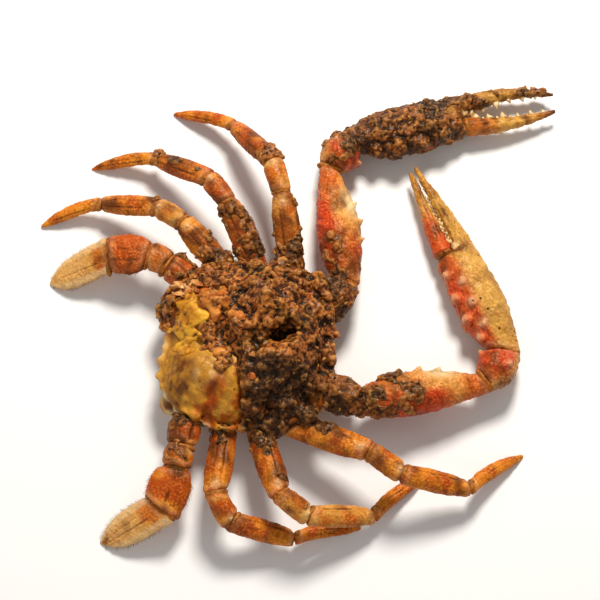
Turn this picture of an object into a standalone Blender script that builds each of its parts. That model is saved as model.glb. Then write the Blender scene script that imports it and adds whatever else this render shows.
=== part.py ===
"""A cooked swimming crab, cleaned and roasted in thick spice masala, lying on its belly.

The top shell is off, so the body shows the two smooth side plates of its inner shell with masala
heaped between them. Two long claws and eight legs are still on it. The last pair of legs ends in
swimming paddles.

Units are metres. +X is the way the crab faces, +Y is its left and +Z is up. The origin is the middle
of the flat of the belly, on which it rests. Each hard segment is its own solid, with a thin gap at
every joint.
"""

import math

import bmesh
import bpy
from mathutils import Vector

MM = 0.001
GAP = 0.3 * MM  # between neighbouring solids

# The body, in a plan that is a rounded box
BODY_HALF_LENGTH = 34.5 * MM
BODY_HALF_WIDTH = 33 * MM
BODY_BOXINESS = 2.9  # 2 would be an oval
BODY_TAPER = 0.07  # wider in front, narrower behind
RIM_NOTCH = 1.3 * MM  # the rim dips in between the legs
NOTCH_ANGLES = (-114, -91, -69, -43, 43, 69, 91, 114)
NOTCH_SPREAD = 5  # degrees
RIM_TOP = 17 * MM  # the edge of the shell, where the legs come out
RIM_BOTTOM = 11 * MM
DOME_RISE = 12.5 * MM  # the side plates, above the rim
TROUGH_DEPTH = 4 * MM  # the groove between the side plates
FRONT_DROP = 5 * MM  # the mouth end is lower
BELLY_FLAT_SHARE = 0.6  # of the plan, flat underneath
BODY_SEGMENTS = 40
TOP_RINGS = (0.12, 0.26, 0.4, 0.53, 0.65, 0.76, 0.85, 0.92, 0.97, 1.0)
BOTTOM_RINGS = (1.0, 0.93, 0.8, 0.6)

# The masala heaped on the body
HEAP_CENTRE = Vector((14 * MM, 2 * MM, 0))
HEAP_HALF_LENGTH = 17 * MM
HEAP_HALF_WIDTH = 23 * MM
HEAP_RISE = 8 * MM
HEAP_LUMP = 1.6 * MM
HEAP_GAP = 0.5 * MM  # the heap lies on a curved surface of flat facets, so this gap is wider
HEAP_SEGMENTS = 30
HEAP_RINGS = (0.2, 0.4, 0.6, 0.78, 0.92, 1.0)

# Limb segments: lengths from the body outwards
CLAW_ARM_LENGTHS = (14 * MM, 52 * MM, 16 * MM)
PALM_LENGTH = 48 * MM
FINGER_LENGTH = 42 * MM
WALKING_LENGTHS = (
    (34 * MM, 15 * MM, 30 * MM, 30 * MM),
    (31 * MM, 14 * MM, 29 * MM, 30 * MM),
    (28 * MM, 13 * MM, 27 * MM, 28 * MM),
)
PADDLE_LENGTHS = (12 * MM, 9 * MM, 17 * MM, 30 * MM)

# Half-widths at the joints and at the fullest place between them
CLAW_ARM_NECKS = (6.0 * MM, 5.8 * MM, 3.9 * MM, 5.6 * MM)
CLAW_ARM_BELLIES = (7.5 * MM, 9.8 * MM, 8.8 * MM)
WALKING_NECKS = (4.6 * MM, 4.2 * MM, 4.0 * MM, 2.9 * MM, 0.6 * MM)
WALKING_BELLIES = (5.8 * MM, 4.9 * MM, 4.8 * MM, 3.1 * MM)
PADDLE_NECKS = (5.4 * MM, 5.0 * MM, 5.6 * MM, 7.8 * MM, 1.0 * MM)
PADDLE_BELLIES = (6.8 * MM, 6.2 * MM, 9.0 * MM, 7.6 * MM)

# Height as a share of width, for each segment
CLAW_ARM_FLATNESS = (0.9, 0.78, 0.9)
WALKING_FLATNESS = (0.72, 0.75, 0.65, 0.7)
PADDLE_FLATNESS = (0.7, 0.7, 0.42, 0.26)

# Where each segment is fullest: 1 is the middle, less is nearer the body
CLAW_ARM_FULLEST = (1.0, 0.72, 1.1)
WALKING_FULLEST = (1.3, 1.5, 0.9, 0.7)
PADDLE_FULLEST = (1.0, 1.2, 1.1, 0.7)
TIP_BOW = 1.5 * MM  # the last segment of a walking leg is curved

# How soon each segment thins towards its joints: below 1, it keeps its width for most of its length
CLAW_ARM_SWELLS = (0.6, 1.15, 0.6)  # the long arm segment has a slim neck before the wrist
LEG_SWELLS = (0.6, 0.6, 0.6, 0.6)
KEEL = 0.12  # a low keel along the upper side, as a share of the height

# Spines along the front edge: shares of the length of the arm and of the wrist
ARM_SPINES = (0.35, 0.55, 0.75)
WRIST_SPINES = (0.6,)

SEGMENT_NAMES = ("merus", "carpus", "propodus", "dactyl")
LIMB_SIDES = 10
LIMB_RINGS = 7

# The claw: half-widths across the palm and the fingers, in the plane in which the fingers open
PALM_NECK = 5.6 * MM
PALM_HALF_WIDTH = 11.0 * MM
PALM_END_HALF_WIDTH = 8.8 * MM
PALM_HALF_HEIGHT = 8.4 * MM
FINGER_HALF_WIDTH = 4.2 * MM
FINGER_TIP = 0.9 * MM
FINGER_HALF_HEIGHT = 4.4 * MM
FINGER_SLIT = 0.8 * MM
CLAW_SIDES = 14
PALM_RINGS = 8
FINGER_RINGS = 7
SPINE_LENGTH = 1.8 * MM
PALM_FULLEST = 0.55  # share of the palm's length
PALM_RIDGE_SPINES = (0.3, 0.62, 0.9)  # shares of the palm's length
PALM_TO_FINGER = 1.5 * MM  # the step where the moving finger is seated
FINGER_BOW = 0.25  # how far the fixed finger bows out, against the opening
FINGER_HOOK = 0.55  # how far the moving finger hooks back in
FINGER_SHORTER = 3 * MM  # the moving finger ends short of the fixed one

# Pose of each limb: where it leaves the rim, then each segment's heading and slope, all in degrees
CLAW_ARM_POSES = {
    "right": (-27, (-20, 9, 56), (0, -3, -8), 114),
    "left": (27, (55, 97, 55), (0, -3, -8), 14),
}
CLAW_SLOPE = -2
CLAW_OPENING = {"right": 0, "left": 15}
WALKING_POSES = {
    "right": (
        (-58, (-22, -35, -8, 35), (15, -8, -22, -20)),
        (-80, (-72, -35, 5, 40), (18, -20, -25, -13)),
        (-102, (-98, -60, -12, 12), (10, -20, -18, -13)),
    ),
    "left": (
        (58, (98, 105, 128, 160), (17, -5, -25, -20)),
        (80, (115, 125, 150, 182), (16, -8, -24, -18)),
        (102, (132, 145, 168, 196), (12, -10, -22, -15)),
    ),
}
PADDLE_POSES = {
    "right": (-127, (-108, -95, -110, -155), (5, 3, -12, -24)),
    "left": (127, (140, 155, 175, 200), (5, 0, -10, -24)),
}
LIMB_ROOT_HEIGHT = 14.5 * MM

SHELL_ORANGE = (0.55, 0.2, 0.045, 1)
SHELL_CREAM = (0.68, 0.46, 0.18, 1)
SHELL_RED = (0.62, 0.1, 0.03, 1)
MASALA_BROWN = (0.11, 0.05, 0.02, 1)


def clear_scene():
    for thing in list(bpy.data.objects):
        bpy.data.objects.remove(thing, do_unlink=True)


def material(name, colour, roughness):
    made = bpy.data.materials.new(name)
    made.use_nodes = True
    shader = made.node_tree.nodes["Principled BSDF"]
    shader.inputs["Base Color"].default_value = colour
    shader.inputs["Roughness"].default_value = roughness
    shader.inputs["Metallic"].default_value = 0.0
    return made


def add_object(name, bm, finish):
    """A named object from a finished mesh, with its faces turned out."""
    bmesh.ops.recalc_face_normals(bm, faces=bm.faces)
    mesh = bpy.data.meshes.new(name)
    bm.to_mesh(mesh)
    bm.free()
    mesh.shade_smooth()
    mesh.materials.append(finish)
    made = bpy.data.objects.new(name, mesh)
    bpy.context.collection.objects.link(made)
    return made


def closed_loft(rings, first_tip, last_tip):
    """A closed mesh through rings of equal count, with a fan at each end."""
    bm = bmesh.new()
    loops = [[bm.verts.new(point) for point in ring] for ring in rings]
    count = len(loops[0])
    for lower, upper in zip(loops, loops[1:]):
        for i in range(count):
            j = (i + 1) % count
            bm.faces.new((lower[i], lower[j], upper[j], upper[i]))
    for loop, tip in ((loops[0], first_tip), (loops[-1], last_tip)):
        middle = bm.verts.new(tip)
        for i in range(count):
            bm.faces.new((loop[i], loop[(i + 1) % count], middle))
    return bm


def direction(heading, slope):
    """The unit vector at a heading from +X and a slope above the floor, in degrees."""
    h, s = math.radians(heading), math.radians(slope)
    return Vector((math.cos(s) * math.cos(h), math.cos(s) * math.sin(h), math.sin(s)))


def cross_axes(along):
    """Level and upward unit vectors square to a direction."""
    level = Vector((0, 0, 1)).cross(along).normalized()
    return level, along.cross(level)


# Body


def smooth_rim_radius(angle):
    along = abs(math.cos(angle)) / BODY_HALF_LENGTH
    across = abs(math.sin(angle)) / (BODY_HALF_WIDTH * (1 + BODY_TAPER * math.cos(angle)))
    return (along**BODY_BOXINESS + across**BODY_BOXINESS) ** (-1 / BODY_BOXINESS)


def rim_radius(angle):
    """The rim, which dips in between one leg and the next."""
    turn = math.degrees(math.remainder(angle, math.tau))
    dips = sum(math.exp(-(((turn - notch) / NOTCH_SPREAD) ** 2)) for notch in NOTCH_ANGLES)
    return smooth_rim_radius(angle) - RIM_NOTCH * dips


def rim_point(angle, height):
    return Vector((rim_radius(angle) * math.cos(angle), rim_radius(angle) * math.sin(angle), height))


def rim_normal(angle):
    """The level direction that faces out of the rim, without its dips."""
    step = 0.01
    before, after = angle - step, angle + step
    x = smooth_rim_radius(after) * math.cos(after) - smooth_rim_radius(before) * math.cos(before)
    y = smooth_rim_radius(after) * math.sin(after) - smooth_rim_radius(before) * math.sin(before)
    return Vector((y, -x, 0)).normalized()


def body_top(x, y):
    """Height of the body's upper surface: two side plates with a trough between them."""
    u, v = x / BODY_HALF_LENGTH, y / BODY_HALF_WIDTH
    out = (abs(u) ** BODY_BOXINESS + abs(v) ** BODY_BOXINESS) ** (1 / BODY_BOXINESS)
    rise = max(0.0, 1 - out**3.2) ** 0.8
    trough = TROUGH_DEPTH * math.exp(-((v / 0.2) ** 2)) * rise
    front = FRONT_DROP * max(0.0, u - 0.3) * rise
    return RIM_TOP + DOME_RISE * rise - trough - front


def body_bottom(share):
    """Height of the underside, level in the middle and rising to the rim."""
    past = max(0.0, share - BELLY_FLAT_SHARE) / (1 - BELLY_FLAT_SHARE)
    return RIM_BOTTOM * past**1.6


def build_body(finish):
    angles = [math.tau * i / BODY_SEGMENTS for i in range(BODY_SEGMENTS)]
    rings = []
    for share in TOP_RINGS:
        flat = [rim_point(a, 0) * share for a in angles]
        rings.append([Vector((p.x, p.y, body_top(p.x, p.y))) for p in flat])
    for share in BOTTOM_RINGS:
        flat = [rim_point(a, 0) * share for a in angles]
        rings.append([Vector((p.x, p.y, body_bottom(share))) for p in flat])
    bm = closed_loft(rings, (0, 0, body_top(0, 0)), (0, 0, 0))
    return add_object("body", bm, finish)


def heap_lumps(angle, share):
    """Unevenness of the heap, from a few waves round and along it."""
    slow, quick = math.sin(3 * angle + 5 * share), math.sin(7 * angle + 6 * share)
    waves = slow + math.sin(5 * angle - 4 * share + 1) + quick
    return HEAP_LUMP * waves * share**1.5 * (1 - share**6) * 0.8


def build_heap(finish):
    angles = [math.tau * i / HEAP_SEGMENTS for i in range(HEAP_SEGMENTS)]
    top, bottom = [], []
    for share in HEAP_RINGS:
        upper, lower = [], []
        for a in angles:
            uneven = 1 + 0.07 * math.sin(3 * a + 0.6) + 0.05 * math.sin(5 * a)
            x = HEAP_CENTRE.x + HEAP_HALF_LENGTH * uneven * share * math.cos(a)
            y = HEAP_CENTRE.y + HEAP_HALF_WIDTH * uneven * share * math.sin(a)
            under = body_top(x, y) + HEAP_GAP
            rise = 1 * MM + HEAP_RISE * (1 - share**2.4)
            upper.append(Vector((x, y, under + rise + heap_lumps(a, share))))
            lower.append(Vector((x, y, under)))
        top.append(upper)
        bottom.append(lower)
    middle = body_top(HEAP_CENTRE.x, HEAP_CENTRE.y) + HEAP_GAP
    crown = HEAP_CENTRE + Vector((0, 0, middle + MM + HEAP_RISE))
    bm = closed_loft(top + bottom[::-1], crown, HEAP_CENTRE + Vector((0, 0, middle)))
    return add_object("masala_heap", bm, finish)


# Limbs


def project(point, along, plane_point, plane_normal):
    """Slides a point along a direction on to a plane."""
    return point + along * ((plane_point - point).dot(plane_normal) / along.dot(plane_normal))


def keep_inside(rings, along, start_plane, end_plane):
    """Cuts both ends of a segment square to its joint planes, half a gap back from each."""
    for plane, end_ring, sign in ((start_plane, 0, 1), (end_plane, -1, -1)):
        if plane is None:
            continue
        place, normal = plane[0] + plane[1] * sign * GAP / 2, plane[1]
        for number, ring in enumerate(rings):
            is_end = number == end_ring % len(rings)
            for i, point in enumerate(ring):
                if is_end or (point - place).dot(normal) * sign < 0:
                    ring[i] = project(point, along, place, normal)
    return rings


def segment_rings(start, end, necks, belly, swell, flatness, ring_count, fullest, bow):
    """Rings of a segment that swells between its joints, with a keel along its upper side."""
    along = (end - start).normalized()
    level, upward = cross_axes(along)
    rings = []
    for k in range(ring_count):
        t = k / (ring_count - 1)
        neck = necks[0] + (necks[1] - necks[0]) * t
        wave = math.sin(math.pi * t**fullest)
        half = neck + (belly - neck) * max(0.0, wave) ** swell
        middle = start.lerp(end, t) + level * bow * wave
        ring = []
        for i in range(LIMB_SIDES):
            a = math.tau * i / LIMB_SIDES
            keel = 1 + KEEL * max(0.0, math.sin(a)) ** 4
            ring.append(middle + level * half * math.cos(a) + upward * half * flatness * keel * math.sin(a))
        rings.append(ring)
    return rings, along


def joint_points(start, headings, slopes, lengths):
    points = [start]
    for heading, slope, length in zip(headings, slopes, lengths):
        points.append(points[-1] + direction(heading, slope) * length)
    return points


def joint_planes(points, root_normal, next_along):
    """For each joint, its place and the direction halfway between the two segments that meet there."""
    alongs = [(b - a).normalized() for a, b in zip(points, points[1:])]
    planes = [(points[0], root_normal)]
    for k in range(1, len(alongs)):
        planes.append((points[k], (alongs[k - 1] + alongs[k]).normalized()))
    if next_along is None:
        planes.append(None)
    else:
        planes.append((points[-1], (alongs[-1] + next_along).normalized()))
    return planes


def middle_of(ring):
    return sum(ring, Vector()) / len(ring)


def add_spines(bm, places, length):
    """Raises a short spine from the face nearest to each place."""
    for place in places:
        face = min(bm.faces, key=lambda f: (f.calc_center_median() - place).length)
        tip = face.calc_center_median() + face.normal * length
        poked = bmesh.ops.poke(bm, faces=[face])
        poked["verts"][0].co = tip


def build_limb(prefix, names, root_angle, pose, lengths, shape, next_along, finishes, spines=()):
    """A chain of segments from the rim outwards. Returns its joints."""
    necks, bellies, swells, flatnesses, fullness, bows = shape
    angle = math.radians(root_angle)
    root = rim_point(angle, LIMB_ROOT_HEIGHT) + rim_normal(angle) * GAP / 2
    points = joint_points(root, pose[0], pose[1], lengths)
    planes = joint_planes(points, rim_normal(angle), next_along)
    for k, name in enumerate(names):
        rings, along = segment_rings(
            points[k],
            points[k + 1],
            necks[k : k + 2],
            bellies[k],
            swells[k],
            flatnesses[k],
            LIMB_RINGS,
            fullness[k],
            bows[k],
        )
        rings = keep_inside(rings, along, planes[k], planes[k + 1])
        bm = closed_loft(rings, middle_of(rings[0]), middle_of(rings[-1]))
        if k in spines:
            bmesh.ops.recalc_face_normals(bm, faces=bm.faces)
            add_spines(bm, spine_places(points[k], points[k + 1], bellies[k], spines[k]), SPINE_LENGTH)
        add_object(f"{prefix}_{name}", bm, finishes[k])
    return points


def spine_places(start, end, belly, row):
    """Places along one side of a segment. A row is its side, then the share of the length of each spine."""
    side, shares = row
    level, _ = cross_axes((end - start).normalized())
    return [start.lerp(end, share) + level * side * belly for share in shares]


# Claws


def claw_ring(origin, axes, reach, offset, half_width, half_height):
    """A ring square to the claw, offset towards the inner side."""
    along, inner, upward = axes
    middle = origin + along * reach + inner * offset
    ring = []
    for i in range(CLAW_SIDES):
        a = math.tau * i / CLAW_SIDES
        ring.append(middle + inner * half_width * math.cos(a) + upward * half_height * math.sin(a))
    return ring


def finger_half_width(t):
    return FINGER_TIP + (FINGER_HALF_WIDTH - FINGER_TIP) * (1 - t**1.3)


def build_palm(name, origin, axes, joint_plane, opening, finish):
    """The palm and the fixed finger, which are one shell."""
    rings = []
    for k in range(PALM_RINGS):
        t = k / (PALM_RINGS - 1)
        swell = math.sin(math.pi / 2 * min(1.0, t / PALM_FULLEST))
        past = max(0.0, t - PALM_FULLEST) / (1 - PALM_FULLEST)
        half = PALM_NECK + (PALM_HALF_WIDTH - PALM_NECK) * swell
        half -= (PALM_HALF_WIDTH - PALM_END_HALF_WIDTH) * past
        tall = half * PALM_HALF_HEIGHT / PALM_HALF_WIDTH
        rings.append(claw_ring(origin, axes, PALM_LENGTH * t, 0, half, tall))
    for k in range(FINGER_RINGS):
        t = k / (FINGER_RINGS - 1)
        half = finger_half_width(t)
        spread = FINGER_SLIT / 2 + half + FINGER_BOW * FINGER_LENGTH * opening * math.sin(math.pi * t)
        tall = FINGER_HALF_HEIGHT * half / FINGER_HALF_WIDTH
        reach = PALM_LENGTH + PALM_TO_FINGER + (FINGER_LENGTH - PALM_TO_FINGER) * t
        rings.append(claw_ring(origin, axes, reach, -spread, half, tall))
    rings = keep_inside(rings, axes[0], joint_plane, None)
    bm = closed_loft(rings, middle_of(rings[0]), middle_of(rings[-1]))
    bmesh.ops.recalc_face_normals(bm, faces=bm.faces)
    edge = origin + axes[1] * PALM_HALF_WIDTH
    ridge = [edge + axes[0] * PALM_LENGTH * share for share in PALM_RIDGE_SPINES]
    add_spines(bm, ridge, SPINE_LENGTH)
    return add_object(name, bm, finish)


def build_finger(name, origin, axes, opening, finish):
    """The moving finger, on the inner side of the claw."""
    rings = []
    for k in range(FINGER_RINGS + 1):
        t = k / FINGER_RINGS
        half = finger_half_width(t)
        spread = FINGER_SLIT / 2 + half + FINGER_LENGTH * opening * (t - FINGER_HOOK * t * t)
        tall = FINGER_HALF_HEIGHT * half / FINGER_HALF_WIDTH
        reach = PALM_LENGTH + PALM_TO_FINGER + GAP + (FINGER_LENGTH - FINGER_SHORTER) * t
        rings.append(claw_ring(origin, axes, reach, spread, half, tall))
    bm = closed_loft(rings, middle_of(rings[0]), middle_of(rings[-1]))
    return add_object(name, bm, finish)


def build_claw_arm(side, finishes):
    root_angle, headings, slopes, claw_heading = CLAW_ARM_POSES[side]
    along = direction(claw_heading, CLAW_SLOPE)
    level, upward = cross_axes(along)
    inner = level if side == "right" else -level
    shape = (
        CLAW_ARM_NECKS,
        CLAW_ARM_BELLIES,
        CLAW_ARM_SWELLS,
        CLAW_ARM_FLATNESS,
        CLAW_ARM_FULLEST,
        (0, 0, 0),
    )
    front = 1 if side == "right" else -1
    points = build_limb(
        f"{side}_claw",
        ("ischium", "merus", "carpus"),
        root_angle,
        (headings, slopes),
        CLAW_ARM_LENGTHS,
        shape,
        along,
        finishes,
        {1: (front, ARM_SPINES), 2: (front, WRIST_SPINES)},
    )
    last_along = (points[-1] - points[-2]).normalized()
    plane = (points[-1], (last_along + along).normalized())
    opening = math.tan(math.radians(CLAW_OPENING[side]))
    axes = (along, inner, upward)
    build_palm(f"{side}_claw_palm", points[-1], axes, plane, opening, finishes[3])
    build_finger(f"{side}_claw_finger", points[-1], axes, opening, finishes[3])


def build_legs(side, finishes):
    mirror = 1 if side == "right" else -1
    bows = (0, 0, 0, TIP_BOW * mirror)
    walking = (WALKING_NECKS, WALKING_BELLIES, LEG_SWELLS, WALKING_FLATNESS, WALKING_FULLEST, bows)
    for number, (root_angle, headings, slopes) in enumerate(WALKING_POSES[side]):
        prefix = f"{side}_leg_{number + 1}"
        pose = (headings, slopes)
        lengths = WALKING_LENGTHS[number]
        build_limb(prefix, SEGMENT_NAMES, root_angle, pose, lengths, walking, None, finishes)
    root_angle, headings, slopes = PADDLE_POSES[side]
    paddle = (PADDLE_NECKS, PADDLE_BELLIES, LEG_SWELLS, PADDLE_FLATNESS, PADDLE_FULLEST, (0, 0, 0, 0))
    pose = (headings, slopes)
    build_limb(f"{side}_paddle", SEGMENT_NAMES, root_angle, pose, PADDLE_LENGTHS, paddle, None, finishes)


def main():
    clear_scene()
    orange = material("orange_shell", SHELL_ORANGE, 0.4)
    cream = material("cream_shell", SHELL_CREAM, 0.4)
    red = material("red_shell", SHELL_RED, 0.35)
    masala = material("masala", MASALA_BROWN, 0.5)
    build_body(cream)
    build_heap(masala)
    for side in ("right", "left"):
        build_claw_arm(side, (orange, red, orange, cream))
        build_legs(side, (orange, cream, orange, cream))


main()
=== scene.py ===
# %% [markdown]
# # A cooked crab in dry-roasted masala
#
# A swimming crab has been cleaned, cut free of its top shell, boiled and then roasted in a thick paste
# of ground spices. Its hard segments are boiled shell, which goes from cream through orange to red. The
# paste lies on it in lumps, thick on the body and patchy on the limbs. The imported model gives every
# segment at its true size and place. This lesson dresses it: first the shell, then the joints, then the
# paste and what is in it.

# %% Load the frame
import math
from functools import partial

import bmesh
import bpy
import numpy as np
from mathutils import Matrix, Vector
from mathutils.bvhtree import BVHTree


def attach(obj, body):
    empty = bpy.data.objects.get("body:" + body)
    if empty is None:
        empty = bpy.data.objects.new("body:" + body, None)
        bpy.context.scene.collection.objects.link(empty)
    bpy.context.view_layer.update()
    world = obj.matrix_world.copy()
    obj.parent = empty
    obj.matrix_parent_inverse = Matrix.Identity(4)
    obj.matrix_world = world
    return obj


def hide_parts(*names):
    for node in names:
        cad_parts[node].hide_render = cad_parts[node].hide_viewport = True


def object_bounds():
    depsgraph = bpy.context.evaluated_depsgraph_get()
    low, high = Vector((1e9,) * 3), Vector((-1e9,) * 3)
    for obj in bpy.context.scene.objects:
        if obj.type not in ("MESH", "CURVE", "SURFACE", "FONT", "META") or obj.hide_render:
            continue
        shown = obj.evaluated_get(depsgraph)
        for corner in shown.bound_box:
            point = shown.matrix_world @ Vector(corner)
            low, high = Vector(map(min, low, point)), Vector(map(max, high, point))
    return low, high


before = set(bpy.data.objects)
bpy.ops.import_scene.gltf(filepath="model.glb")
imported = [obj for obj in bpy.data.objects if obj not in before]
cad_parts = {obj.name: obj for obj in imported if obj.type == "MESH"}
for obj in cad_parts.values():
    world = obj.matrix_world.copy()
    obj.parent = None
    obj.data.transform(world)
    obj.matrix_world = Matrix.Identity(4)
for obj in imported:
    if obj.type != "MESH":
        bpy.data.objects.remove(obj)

MM = 0.001
cad_low, cad_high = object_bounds()
print("the crab measures, in mm:", [round((b - a) / MM, 1) for a, b in zip(cad_low, cad_high)])

# %% [markdown]
# ## Camera, floor and light
#
# Food on a table is seen from above by someone who stands over it. A long lens keeps the crab's
# proportions, so the camera stands well back. The highlights on oily paste are what makes it look wet,
# and their size follows the size of the lamp: one lamp of a window's size behind the crab, high up,
# gives small bright glints that face the viewer, and a weaker one in front opens the shadows. A bright
# sky all around would wash them out, so it is kept low.

# %% Camera, lamps and sky
VIEW_ELEVATION = math.radians(72)
VIEW_DISTANCE = 0.75
VIEW_WIDTH = 0.243  # what the camera takes in, at the crab
SENSOR_WIDTH = 36  # in mm, as camera makers give it
NEAREST = 0.01
LAMPS = {  # place, width, watts and colour
    "window_lamp": ((0.12, 0.50, 0.62), 0.22, 7.8, (1.0, 0.96, 0.90)),
    "front_lamp": ((-0.45, -0.55, 0.50), 0.60, 1.3, (1.0, 0.98, 0.95)),
}
SKY_STRENGTH = 0.30

middle = Vector([(a + b) / 2 for a, b in zip(cad_low, cad_high)])
toward_viewer = Vector((0, -math.cos(VIEW_ELEVATION), math.sin(VIEW_ELEVATION)))


def put(name, data):
    """A new object in the scene that shows this data."""
    thing = bpy.data.objects.new(name, data)
    bpy.context.scene.collection.objects.link(thing)
    return thing


def aim(thing, place):
    """Moves a lamp or the camera to a place, and turns it towards the middle of the crab."""
    thing.location = place
    thing.rotation_euler = (middle - Vector(place)).to_track_quat("-Z", "Y").to_euler()


lens = bpy.data.cameras.new("camera")
lens.sensor_width = SENSOR_WIDTH
lens.lens = SENSOR_WIDTH * VIEW_DISTANCE / VIEW_WIDTH
lens.clip_start = NEAREST
camera = put("camera", lens)
aim(camera, middle + toward_viewer * VIEW_DISTANCE)
bpy.context.scene.camera = camera

for name, (place, size, watts, colour) in LAMPS.items():
    lamp = bpy.data.lights.new(name, "AREA")
    lamp.shape, lamp.size, lamp.energy, lamp.color = "DISK", size, watts, colour
    aim(put(name, lamp), place)

world = bpy.data.worlds.new("room")
world.use_nodes = True
sky = world.node_tree.nodes["Background"].inputs
sky["Color"].default_value = (1.0, 1.0, 1.0, 1.0)
sky["Strength"].default_value = SKY_STRENGTH
bpy.context.scene.world = world
bpy.context.scene.view_settings.view_transform = "Standard"
print("the lens is, in mm:", round(lens.lens, 1))

# %% [markdown]
# ## Helpers for colours and nodes
#
# A colour as it is given here is an sRGB value, while shaders count in linear light, so one function turns
# the one into the other. A second adds a node with its settings and its links in one call, and a third adds
# one for each row of a table. Every finish starts empty, reads what is stored on the points of its mesh,
# and ends alike: colours are laid one over another, each by its own share, on a Principled shader over
# bumps of a real depth. Two more functions open and close it.

# %% Colours and nodes


def linear(code):
    """Linear RGBA from an sRGB hex code such as e2a85a."""
    parts = [int(code[i : i + 2], 16) / 255 for i in (0, 2, 4)]
    return tuple(p / 12.92 if p <= 0.04045 else ((p + 0.055) / 1.055) ** 2.4 for p in parts) + (1.0,)


def add_node(tree, kind, inputs=None, **settings):
    """Adds a node. Inputs map a socket's name or number to a value, an output, or a node's first output."""
    node = tree.nodes.new(kind)
    for name, value in settings.items():
        setattr(node, name, value)
    for key, value in (inputs or {}).items():
        if isinstance(value, bpy.types.Node):
            value = next(output for output in value.outputs if output.enabled)
        if isinstance(value, bpy.types.NodeSocket):
            tree.links.new(value, node.inputs[key])
        elif isinstance(value, str) and len(value) == 6:
            node.inputs[key].default_value = linear(value)
        else:
            node.inputs[key].default_value = value
    return node


def add_each(add, kind, sockets, rows, **settings):
    """Adds one node for each row. The values in a row go to these sockets, in order."""
    return [add(kind, dict(zip(sockets, row)), **settings) for row in rows]


def new_finish(name, swatch, *measures):
    """An empty material, what adds a node to it, each point's place on the object, and its measures."""
    made = bpy.data.materials.new(name)
    made.use_nodes = True
    made.node_tree.nodes.clear()
    made.diffuse_color = linear(swatch)
    add = partial(add_node, made.node_tree)
    stored = [add("ShaderNodeAttribute", attribute_name=measure).outputs["Fac"] for measure in measures]
    return made, add, add("ShaderNodeTexCoord").outputs["Object"], *stored


def close_finish(add, colour, layers, height, depth, inputs):
    """Ends a material. A layer is a share, a colour, and how it blends. Depth is the bumps', in metres."""
    for share, over, *blend in layers:
        settings = {"data_type": "RGBA", "blend_type": blend[0] if blend else "MIX"}
        colour = add("ShaderNodeMix", {0: share, 6: colour, 7: over}, **settings)
    bump = add("ShaderNodeBump", {"Strength": 1.0, "Distance": depth, "Height": height})
    shader = add("ShaderNodeBsdfPrincipled", {"Base Color": colour, **inputs, "Normal": bump})
    add("ShaderNodeOutputMaterial", {"Surface": shader})


OIL_TINT = (1.0, 0.66, 0.32, 1.0)  # orange oil over everything makes even the highlights warm
PASTE_TINT = (1.0, 0.73, 0.45, 1.0)  # on the paste it lies thicker, and shines paler
TEXTURE = ("Vector", "Scale", "Detail", "Roughness")  # the sockets of a texture, a range and a sum
RANGE = ("Value", "From Min", "From Max", "To Min", "To Max")
SUM = (0, 1, 2)

# %% [markdown]
# The floor is a plain matt board, pale, and far larger than what the camera sees.

# %% Floor
FLOOR_SIZE = 6.0
PALE = "f4f3f1"
floor_mesh = bpy.data.meshes.new("floor")
corners = [(x * FLOOR_SIZE / 2, y * FLOOR_SIZE / 2, 0) for x, y in ((-1, -1), (1, -1), (1, 1), (-1, 1))]
floor_mesh.from_pydata(corners, [], [(0, 1, 2, 3)])
floor = put("floor", floor_mesh)
board, add, place = new_finish("matt_board", PALE)
fibres = add("ShaderNodeTexNoise", {"Vector": place, "Scale": 1 / (2 * MM), "Detail": 2.0})
close_finish(add, PALE, [], fibres, 0.02 * MM, {"Roughness": 0.9})
floor_mesh.materials.append(board)

# %% [markdown]
# ## Helpers for meshes
#
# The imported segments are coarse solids. Each piece here starts from a merged copy of one: the copy is
# wrapped in a skin of small even faces, the skin is relaxed until the facets are gone, and finer shape is
# then pressed into it. Voxel remeshing suits this, because it takes any closed shape and gives faces of
# one size, fine enough to hold a ridge of a millimetre.

# %% Mesh helpers
SKIN_SIZE = 0.42 * MM
SHARP_ANGLE = math.radians(48)
EDGE_CREASE = 0.85
FLAT_LIMIT, SQUARE_LIMIT = 0.7, 0.9  # two triangles less bent and less skewed than this are joined
WAVES = 14


def mesh_of(bm, name):
    """The mesh that a bmesh holds."""
    mesh = bpy.data.meshes.new(name)
    bm.to_mesh(mesh)
    bm.free()
    return mesh


def merged_copy(node):
    """The mesh of a packed segment with its loose triangles joined, and its sharp edges marked."""
    bm = bmesh.new()
    bm.from_mesh(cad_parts[node].data)
    bmesh.ops.remove_doubles(bm, verts=bm.verts, dist=0.01 * MM)
    limits = {"angle_face_threshold": FLAT_LIMIT, "angle_shape_threshold": SQUARE_LIMIT}
    bmesh.ops.join_triangles(bm, faces=bm.faces, **limits)
    crease = bm.edges.layers.float.new("crease_edge")
    for edge in bm.edges:
        if len(edge.link_faces) == 2 and edge.calc_face_angle() > SHARP_ANGLE:
            edge[crease] = EDGE_CREASE
    return mesh_of(bm, node)


def evaluated(mesh, kind, settings, inputs=None):
    """The mesh that a modifier makes of a mesh. Inputs map a tree's sockets, by identifier, to values."""
    carrier = put("carrier", mesh)
    modifier = carrier.modifiers.new("shaping", kind)
    for name, value in settings.items():
        setattr(modifier, name, value)
    for identifier, value in (inputs or {}).items():
        modifier[identifier] = value
    graph = bpy.context.evaluated_depsgraph_get()
    source = carrier.evaluated_get(graph)
    made = bpy.data.meshes.new_from_object(source, preserve_all_data_layers=True, depsgraph=graph)
    bpy.data.objects.remove(carrier)
    return made


def rounded(mesh):
    return evaluated(mesh, "SUBSURF", {"levels": 2, "render_levels": 2})


def skinned(mesh, size):
    """A closed mesh of even faces around everything in a mesh."""
    return evaluated(mesh, "REMESH", {"mode": "VOXEL", "voxel_size": size})


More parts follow.
